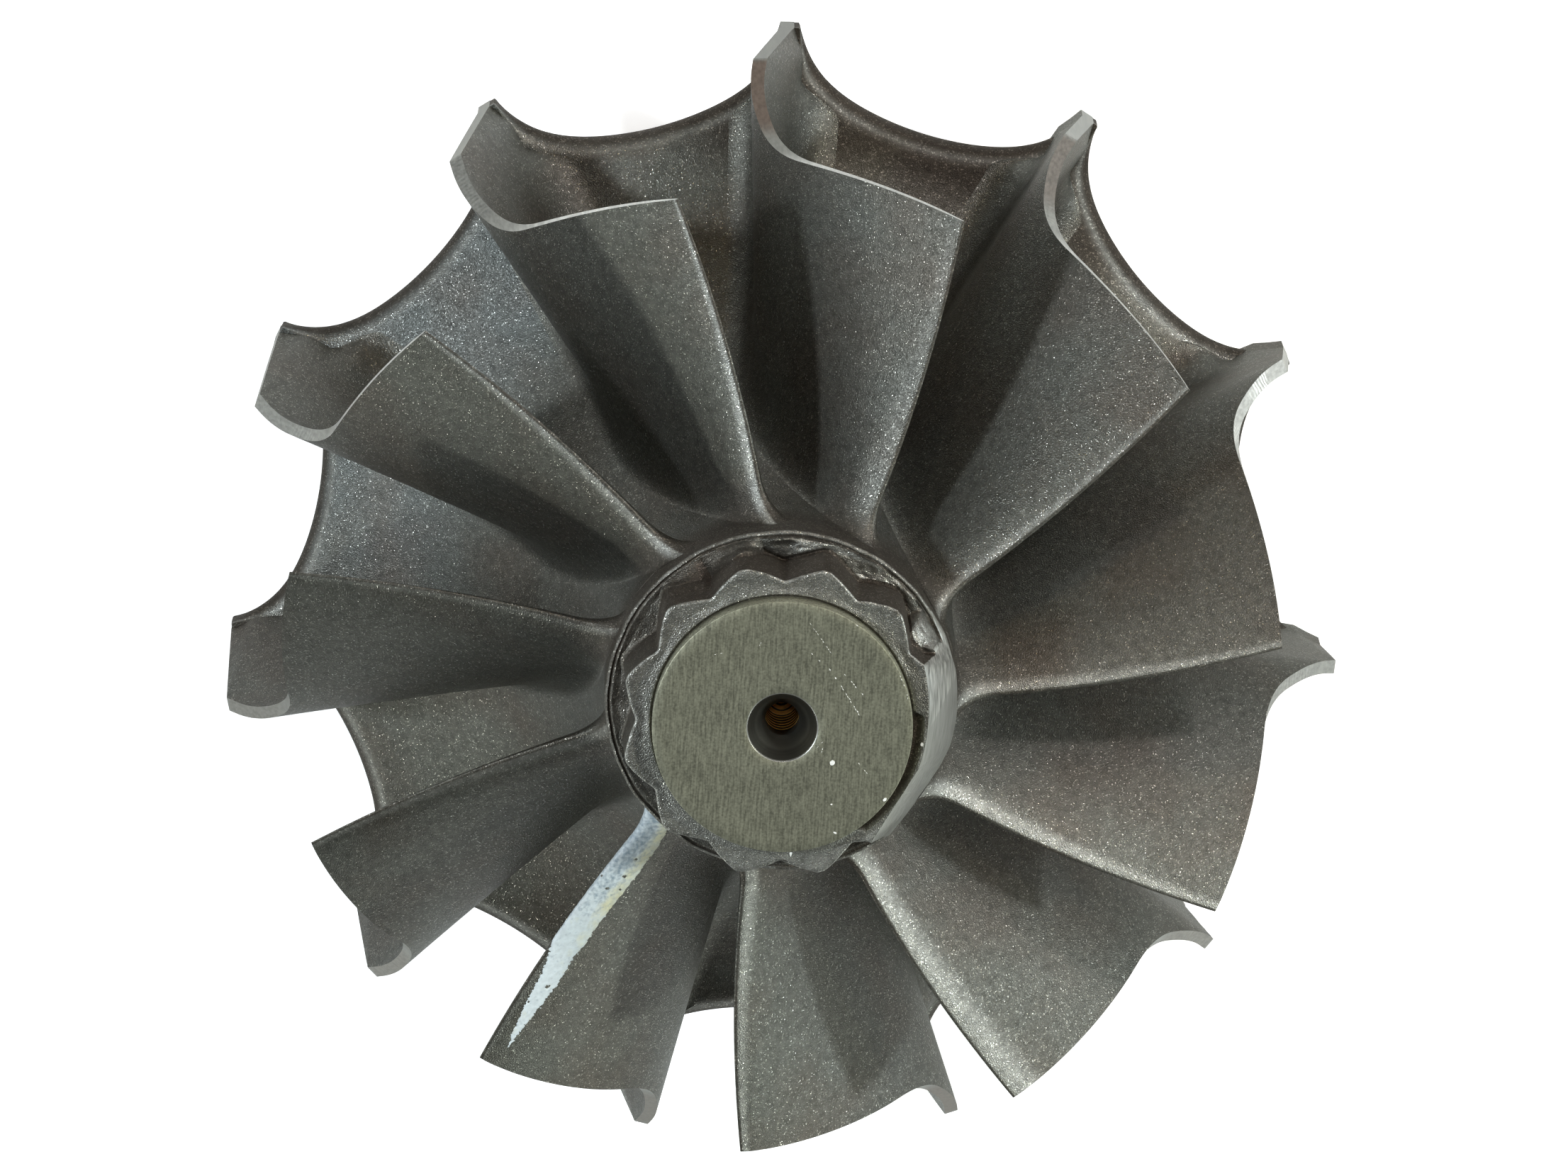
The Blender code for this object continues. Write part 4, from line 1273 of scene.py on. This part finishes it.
# The weld boss: radii of its recess at the bottom and at the face, the recess's depth, the
# chamfer round the face and the radius where the outline stops short of the axis
RECESS_FOOT = 0.0060
RECESS_MOUTH = 0.0068
RECESS_DEPTH = 0.0036
BOSS_CHAMFER = 0.0005
BOSS_CORE = 0.0008


class WHEEL_OT_turn_weld_boss(bpy.types.Operator):
    """Turns the weld boss and its recess"""

    bl_idname = "turbine_wheel.turn_weld_boss"
    bl_label = "Turn weld boss"

    def execute(self, context):
        alloy = context.scene.wheel_alloy
        outline = [
            (BOSS_CORE, RECESS_DEPTH), (RECESS_FOOT, RECESS_DEPTH), (RECESS_MOUTH, 0.0),
            (BOSS_RADIUS - BOSS_CHAMFER, 0.0), (BOSS_RADIUS, BOSS_CHAMFER), (BOSS_RADIUS, BOSS_TOP),
            (BOSS_CORE, BOSS_TOP),
        ]
        finish = material("Turned boss", turned_metal, alloy.boss_colour, 0.38, alloy.metal)
        piece = turned_piece("turned_weld_boss", outline, [finish])
        dress(piece, "turned_metal", "weld_boss")
        return {"FINISHED"}


def grinding_cutters(finishes):
    """A ring whose inner side is a cone set off the axis, and two blocks with leaning flats."""
    slope = (GRIND_FOOT_RADIUS - GRIND_TOP_RADIUS) / (DRIVE_TOP - GRIND_FOOT)
    over = 0.003
    low, high = GRIND_FOOT - 0.001, DRIVE_TOP + over
    outline = [
        (GRIND_FOOT_RADIUS, GRIND_FOOT), (GRIND_REACH, GRIND_FOOT), (GRIND_REACH, high),
        (GRIND_TOP_RADIUS - slope * over, high),
    ]
    angle = np.linspace(0, 2 * math.pi, TURNED_STEPS, endpoint=False)
    radius, height = np.array(outline + outline[:1]).T[..., None]
    points = around_axis(radius, angle, height) - around_axis(GRIND_OFFSET, GRIND_ANGLE, 0.0)
    faces = grid_faces(len(radius), len(angle), closed=True).tolist()
    cutters = [make_piece("grinding_ring", points, faces, finishes, [1] * len(faces))]
    for number, (direction, distance, lean) in enumerate(GRIND_FLATS):
        near_low, near_high = distance + lean * (DRIVE_TOP - low), distance - lean * over
        corners = [(near_low, low), (near_low + 0.01, low), (near_low + 0.01, high), (near_high, high)]
        points = np.array([[(out, side, up) for out, up in corners] for side in (-0.02, 0.02)])
        points = turn_about_axis(points, direction)
        faces = grid_faces(2, 4, closed=True).tolist() + [[0, 1, 2, 3], [4, 5, 6, 7]]
        cutters.append(make_piece(f"grinding_block_{number + 1}", points, faces, finishes, [1] * 6))
    return cutters


class WHEEL_OT_cast_nose(bpy.types.Operator):
    """Casts the collar with its rough rim and the twelve-point drive, and grinds the crescent"""

    bl_idname = "turbine_wheel.cast_nose"
    bl_label = "Cast nose"

    def execute(self, context):
        nose, alloy = context.scene.wheel_nose, context.scene.wheel_alloy
        angle = np.linspace(-math.pi, math.pi, 900, endpoint=False)
        rings = nose_rings(angle, nose)
        rings = np.concatenate([rings, rings[:1]])
        radius, height, wear_and_sheen, brown = np.moveaxis(rings, 1, 0)
        points = around_axis(radius, angle, height)
        faces = grid_faces(len(rings), len(angle), closed=True).tolist()
        finishes = [
            material("Cast alloy", cast_alloy, alloy), material("Ground crescent", ground_crescent, alloy),
        ]
        marks = {"wear_and_sheen": wear_and_sheen, "brown": brown}
        piece = make_piece("cast_nose", points, faces, finishes, sharp=math.radians(40), marks=marks)
        for cutter in grinding_cutters(finishes):
            cut(piece, cutter)
            bpy.data.objects.remove(cutter)
        dress(piece, "cast_alloy", "nose_collar", "twelve_point_drive")
        return {"FINISHED"}


# Finishes of the machined end, by their place in its list of materials
MACHINED, DULL, BARE, COUNTERSUNK, AMBER = range(5)
# The end's rounded edge, the roll at the centre hole's mouth and how deep it goes, the drill's
# grooves in the hole's wall and tip, the hidden wall round the hole, and how far the end reaches
# down into the drive
END_ROUNDING = 0.00007
MOUTH_ROLL = 0.00006
MOUTH_EDGE = 0.00012
DRILL_GROOVE = 0.00006
TIP_GROOVE = 0.00008
CORE_WALL = 0.0004
END_ROOT = 0.0010


def end_outline():
    """(radius, height) outline of the machined end with its centre hole, and the finish of each stretch."""
    sunk = (CENTRE_MOUTH - CENTRE_PILOT) / math.tan(CENTRE_HALF_ANGLE)
    shoulder, bottom = NOSE_TOP - sunk, NOSE_TOP - CENTRE_DEPTH
    tip = bottom - CENTRE_PILOT / math.tan(DRILL_HALF_ANGLE)
    root = DRIVE_TOP - END_ROOT
    outline = [
        (0.0, tip - CORE_WALL), (CENTRE_PILOT + CORE_WALL, tip - CORE_WALL), (CENTRE_PILOT + CORE_WALL, root),
        (END_RADIUS, root), (END_RADIUS, NOSE_TOP - END_ROUNDING),
        (END_RADIUS - 0.00002, NOSE_TOP - 0.00002), (END_RADIUS - END_ROUNDING, NOSE_TOP),
    ]
    finish = [DULL, DULL, DULL, MACHINED, MACHINED, MACHINED]

    def add(radius, height, kind):
        outline.append((float(radius), float(height)))
        finish.append(kind)

    for radius in np.linspace(END_RADIUS - END_ROUNDING, CENTRE_MOUTH + MOUTH_ROLL, 12)[1:]:
        add(radius, NOSE_TOP, MACHINED)
    add(CENTRE_MOUTH, NOSE_TOP - 0.00003, BARE)
    add(CENTRE_MOUTH - 0.00005, NOSE_TOP - MOUTH_EDGE, BARE)
    for step in np.linspace(0, 1, 8)[1:]:
        radius = mix(CENTRE_MOUTH - 0.00005, CENTRE_PILOT, step)
        add(radius, mix(NOSE_TOP - MOUTH_EDGE, shoulder, step), COUNTERSUNK)
    for step in range(1, 33):
        groove = DRILL_GROOVE if step % 2 and step > 6 else 0.0
        kind = AMBER if step > 9 and step % 4 else COUNTERSUNK
        add(CENTRE_PILOT + groove, mix(shoulder, bottom, step / 32), kind)
    for step in range(1, 11):
        groove = TIP_GROOVE if step % 2 else 0.0
        kind = AMBER if step % 3 else COUNTERSUNK
        add(CENTRE_PILOT * (1 - step / 10), mix(bottom, tip, step / 10) + groove, kind)
    return outline, finish


class WHEEL_OT_machine_end(bpy.types.Operator):
    """Turns the nose's end face, drills its centre hole and scratches it"""

    bl_idname = "turbine_wheel.machine_end"
    bl_label = "Machine end face"

    def execute(self, context):
        alloy = context.scene.wheel_alloy
        outline, finish = end_outline()
        finishes = [
            material("Machined face", machined_face, alloy),
            material("Dark turned metal", turned_metal, (0.10, 0.098, 0.088), 0.5, alloy.metal),
            material("Bare edge", turned_metal, (0.55, 0.55, 0.52), 0.35, alloy.metal),
            material("Countersink", turned_metal, (0.11, 0.107, 0.092), 0.35, alloy.metal, 1500.0),
            material("Amber tint", turned_metal, (1.0, 0.62, 0.20), 0.3, 0.1, 4500.0),
        ]
        piece = turned_piece("machined_end_face", outline, finishes, finish)
        dress(piece, "machined_face", "machined_end")
        scratch_end_face()
        return {"FINISHED"}


# Scratches on the end face: start, end and width in millimetres, and how broken each is
SCRATCHES = (
    ((-1.35, -8.20), (-3.50, -5.45), 0.06, 0.40), ((-1.75, -5.75), (-3.10, -4.65), 0.12, 0.70),
    ((-3.10, -4.65), (-4.05, -3.45), 0.15, 0.50), ((-4.05, -3.45), (-5.55, -1.25), 0.10, 0.12),
    ((-4.25, -4.35), (-5.75, -2.75), 0.10, 0.60), ((-5.55, 2.15), (-6.45, 3.15), 0.06, 0.30),
    ((-2.45, 1.55), (-3.05, 0.85), 0.08, 0.25), ((-2.95, 1.75), (-3.10, 1.10), 0.07, 0.30),
    ((1.90, -6.55), (2.05, -6.00), 0.05, 0.40), ((4.70, -5.35), (5.35, -5.20), 0.05, 0.40),
    ((-4.85, -8.10), (-5.75, -7.50), 0.08, 0.45), ((-8.05, -4.90), (-8.70, -3.60), 0.08, 0.50),
    ((-8.88, -3.10), (-9.22, -1.90), 0.07, 0.60),
)
# Specks of dust: centre, length and width in millimetres, and the direction of the length in degrees
SPECKS = (
    ((-3.80, 2.43), 0.42, 0.36, 60), ((-7.80, 5.00), 0.34, 0.22, 40), ((-3.95, 5.60), 0.15, 0.12, 0),
    ((-4.35, 7.75), 0.28, 0.14, 160), ((-1.28, 9.95), 0.60, 0.20, 88), ((-10.30, 1.10), 0.30, 0.22, 70),
)
# Length of one stretch of a scratch, and how high its burr and the dust stand
BURR_LENGTH = 0.00022
BURR_HEIGHT = 0.000012
DUST_HEIGHT = 0.00005


def flat_strip(corners, low, high):
    """A thin closed plate over a convex outline."""
    count = len(corners)
    points = [(x, y, z) for z in (low, high) for x, y in corners]
    faces = [list(range(count)), list(range(count, 2 * count))]
    faces += [[k, (k + 1) % count, count + (k + 1) % count, count + k] for k in range(count)]
    return points, faces


def scratch_end_face():
    """Lays bright raised burrs along the scratches, and a few specks of dust, on the end face."""
    pick = np.random.default_rng(11)
    marks = {"end_face_scratches": ([], []), "end_face_dust": ([], [])}

    def add(name, corners, low, high):
        points, faces = marks[name]
        new_points, new_faces = flat_strip(corners, low, high)
        faces += [[index + len(points) for index in face] for face in new_faces]
        points += new_points

    for start, end, width, broken in SCRATCHES:
        start, end = np.array(start) / 1000, np.array(end) / 1000
        run = end - start
        across = np.array([-run[1], run[0]]) / np.hypot(*run) * width / 2000
        pieces = max(3, int(np.hypot(*run) / BURR_LENGTH))
        for k in range(pieces):
            if pick.random() < broken:
                continue
            a, b = start + run * (k - 0.05) / pieces, start + run * (k + 1.05 - 0.6 * broken) / pieces
            drift = across * pick.uniform(-0.6, 0.6)
            half = across * pick.uniform(0.5, 1.0)
            middle = (a + b) / 2 + drift
            corners = [a + drift, middle + half, b + drift, middle - half]
            add("end_face_scratches", corners, NOSE_TOP - 0.00002, NOSE_TOP + BURR_HEIGHT)
    for (x, y), long, wide, turn in SPECKS:
        low = NOSE_TOP if math.hypot(x, y) < END_RADIUS * 1000 else DRIVE_TOP
        around = np.linspace(0, 2 * math.pi, 10, endpoint=False)
        reach_out = pick.uniform(0.8, 1.1, 10) / 2000
        flat = around_axis(reach_out, around, 0.0) * (long, wide, 1)
        corners = turn_about_axis(flat, math.radians(turn))[:, :2] + np.array((x, y)) / 1000
        add("end_face_dust", corners.tolist(), low - 0.0001, low + DUST_HEIGHT)
    burr = material("Burr", turned_metal, (0.85, 0.85, 0.80), 0.45, 0.2)
    dust = material("Pale dust", pale_dust)
    for (name, (points, faces)), finish in zip(marks.items(), (burr, dust)):
        piece = make_piece(name, np.array(points), faces, [finish])
        dress(piece, "machined_face")


class WHEEL_OT_set_stage(bpy.types.Operator):
    """Lays the floor and sets up the lamps and the camera"""

    bl_idname = "turbine_wheel.set_stage"
    bl_label = "Set stage"

    def execute(self, context):
        settings = context.scene.wheel_stage
        lay_floor(settings)
        hang_lamps(settings)
        aim_camera()
        context.scene.view_settings.view_transform = "Standard"
        return {"FINISHED"}


def lay_floor(settings):
    """A pale floor, wider than any view."""
    mesh = bpy.data.meshes.new("floor")
    corners = [(x, y, 0.0) for x, y in ((-1, -1), (1, -1), (1, 1), (-1, 1))]
    mesh.from_pydata([FLOOR_HALF * Vector(corner) for corner in corners], [], [(0, 1, 2, 3)])
    mesh.materials.append(material("Pale floor", pale_floor, settings.floor_colour))
    floor = put_in_scene("floor", mesh)


FLOOR_HALF = 3.0
# The camera stands where the photograph was taken: its place, the point that it aims at on the
# disc's back plane, and the direction on the floor that points up in the picture
CAMERA_PLACE = Vector((0.01504, -0.16323, 0.60870))
CAMERA_AIM = Vector((-0.00066, 0.00220, 0.01100))
CAMERA_UP = math.radians(-86.36)
CAMERA_LENS = 181.58
SENSOR_WIDTH = 36.0


def camera_axes():
    """Right, up and back of the camera."""
    back = (CAMERA_PLACE - CAMERA_AIM).normalized()
    right = Vector((math.cos(CAMERA_UP), math.sin(CAMERA_UP), 0.0)).cross(back).normalized()
    return right, back.cross(right), back


def aim_camera():
    right, up, back = camera_axes()
    lens = bpy.data.cameras.new("camera")
    lens.sensor_width = SENSOR_WIDTH
    lens.lens = CAMERA_LENS
    lens.clip_start = 0.01
    lens.clip_end = 10.0
    camera = put_in_scene("camera", lens)
    camera.matrix_world = Matrix.Translation(CAMERA_PLACE) @ Matrix((right, up, back)).transposed().to_4x4()
    bpy.context.scene.camera = camera


# Lamps around the camera's line of sight: degrees off it, degrees round it from the picture's right,
# watts and tone
LAMPS = {
    "left_lamp": (42, 180, 8.6, (0.88, 0.965, 1.0)),
    "low_right_lamp": (62, 0, 6.0, (0.86, 0.96, 1.0)),
    "upper_right_lamp": (42, 45, 4.3, (1.0, 0.94, 0.93)),
    "floor_right_lamp": (78, 315, 3.3, (0.92, 1.0, 0.91)),
    "floor_left_lamp": (78, 225, 2.9, (0.95, 1.0, 0.92)),
    "right_lamp": (42, 0, 2.7, (1.0, 0.99, 0.75)),
    "upper_lamp": (42, 90, 1.0, (1.0, 0.80, 0.50)),
    "front_lamp": (4, 90, 0.45, (1.0, 0.92, 0.80)),
}
LAMP_DISTANCE = 1.2
LAMP_SIZE = 0.10
ROOM_LIGHT = 0.03


def hang_lamps(settings):
    """Soft lamps around the camera's line of sight, and a dim room."""
    right, up, back = camera_axes()
    for name, (off_axis, turn, power, tone) in LAMPS.items():
        off, around = math.radians(off_axis), math.radians(turn)
        direction = back * math.cos(off) + (right * math.cos(around) + up * math.sin(around)) * math.sin(off)
        light = bpy.data.lights.new(name, "AREA")
        light.shape = "DISK"
        light.size = LAMP_SIZE
        light.energy = power * settings.lamps
        light.color = tone
        lamp = put_in_scene(name, light)
        lamp.location = CAMERA_AIM + direction * LAMP_DISTANCE
        lamp.rotation_euler = direction.to_track_quat("Z", "Y").to_euler()
        lamp.visible_camera = False
    world = bpy.data.worlds.new("room")
    world.use_nodes = True
    background = world.node_tree.nodes["Background"].inputs
    background["Color"].default_value = (1.0, 1.0, 1.0, 1.0)
    background["Strength"].default_value = ROOM_LIGHT
    bpy.context.scene.world = world


STEPS = (
    WHEEL_OT_cast_body, WHEEL_OT_cast_blades, WHEEL_OT_brush_paint, WHEEL_OT_turn_weld_boss,
    WHEEL_OT_cast_nose, WHEEL_OT_machine_end, WHEEL_OT_set_stage,
)


class WHEEL_PT_sidebar(bpy.types.Panel):
    """Lists the steps that dress the wheel"""

    bl_idname = "WHEEL_PT_sidebar"
    bl_label = "Turbine Wheel"
    bl_space_type = "VIEW_3D"
    bl_region_type = "UI"
    bl_category = "Turbine Wheel"

    def draw(self, context):
        for step in STEPS:
            self.layout.operator(step.bl_idname)


SETTINGS = {
    "wheel_blades": BladeSettings, "wheel_disc": DiscSettings, "wheel_nose": NoseSettings,
    "wheel_alloy": AlloySettings, "wheel_paint": PaintSettings, "wheel_stage": StageSettings,
}


def register():
    for group in SETTINGS.values():
        bpy.utils.register_class(group)
    for name, group in SETTINGS.items():
        setattr(bpy.types.Scene, name, bpy.props.PointerProperty(type=group))
    for step in STEPS:
        bpy.utils.register_class(step)
    bpy.utils.register_class(WHEEL_PT_sidebar)


def unregister():
    bpy.utils.unregister_class(WHEEL_PT_sidebar)
    for step in reversed(STEPS):
        bpy.utils.unregister_class(step)
    for name in SETTINGS:
        delattr(bpy.types.Scene, name)
    for group in reversed(SETTINGS.values()):
        bpy.utils.unregister_class(group)


def main():
    register()
    bpy.ops.turbine_wheel.cast_body()
    bpy.ops.turbine_wheel.cast_blades()
    bpy.ops.turbine_wheel.brush_paint()
    bpy.ops.turbine_wheel.turn_weld_boss()
    bpy.ops.turbine_wheel.cast_nose()
    bpy.ops.turbine_wheel.machine_end()
    bpy.ops.turbine_wheel.set_stage()


if __name__ == "__main__":
    main()
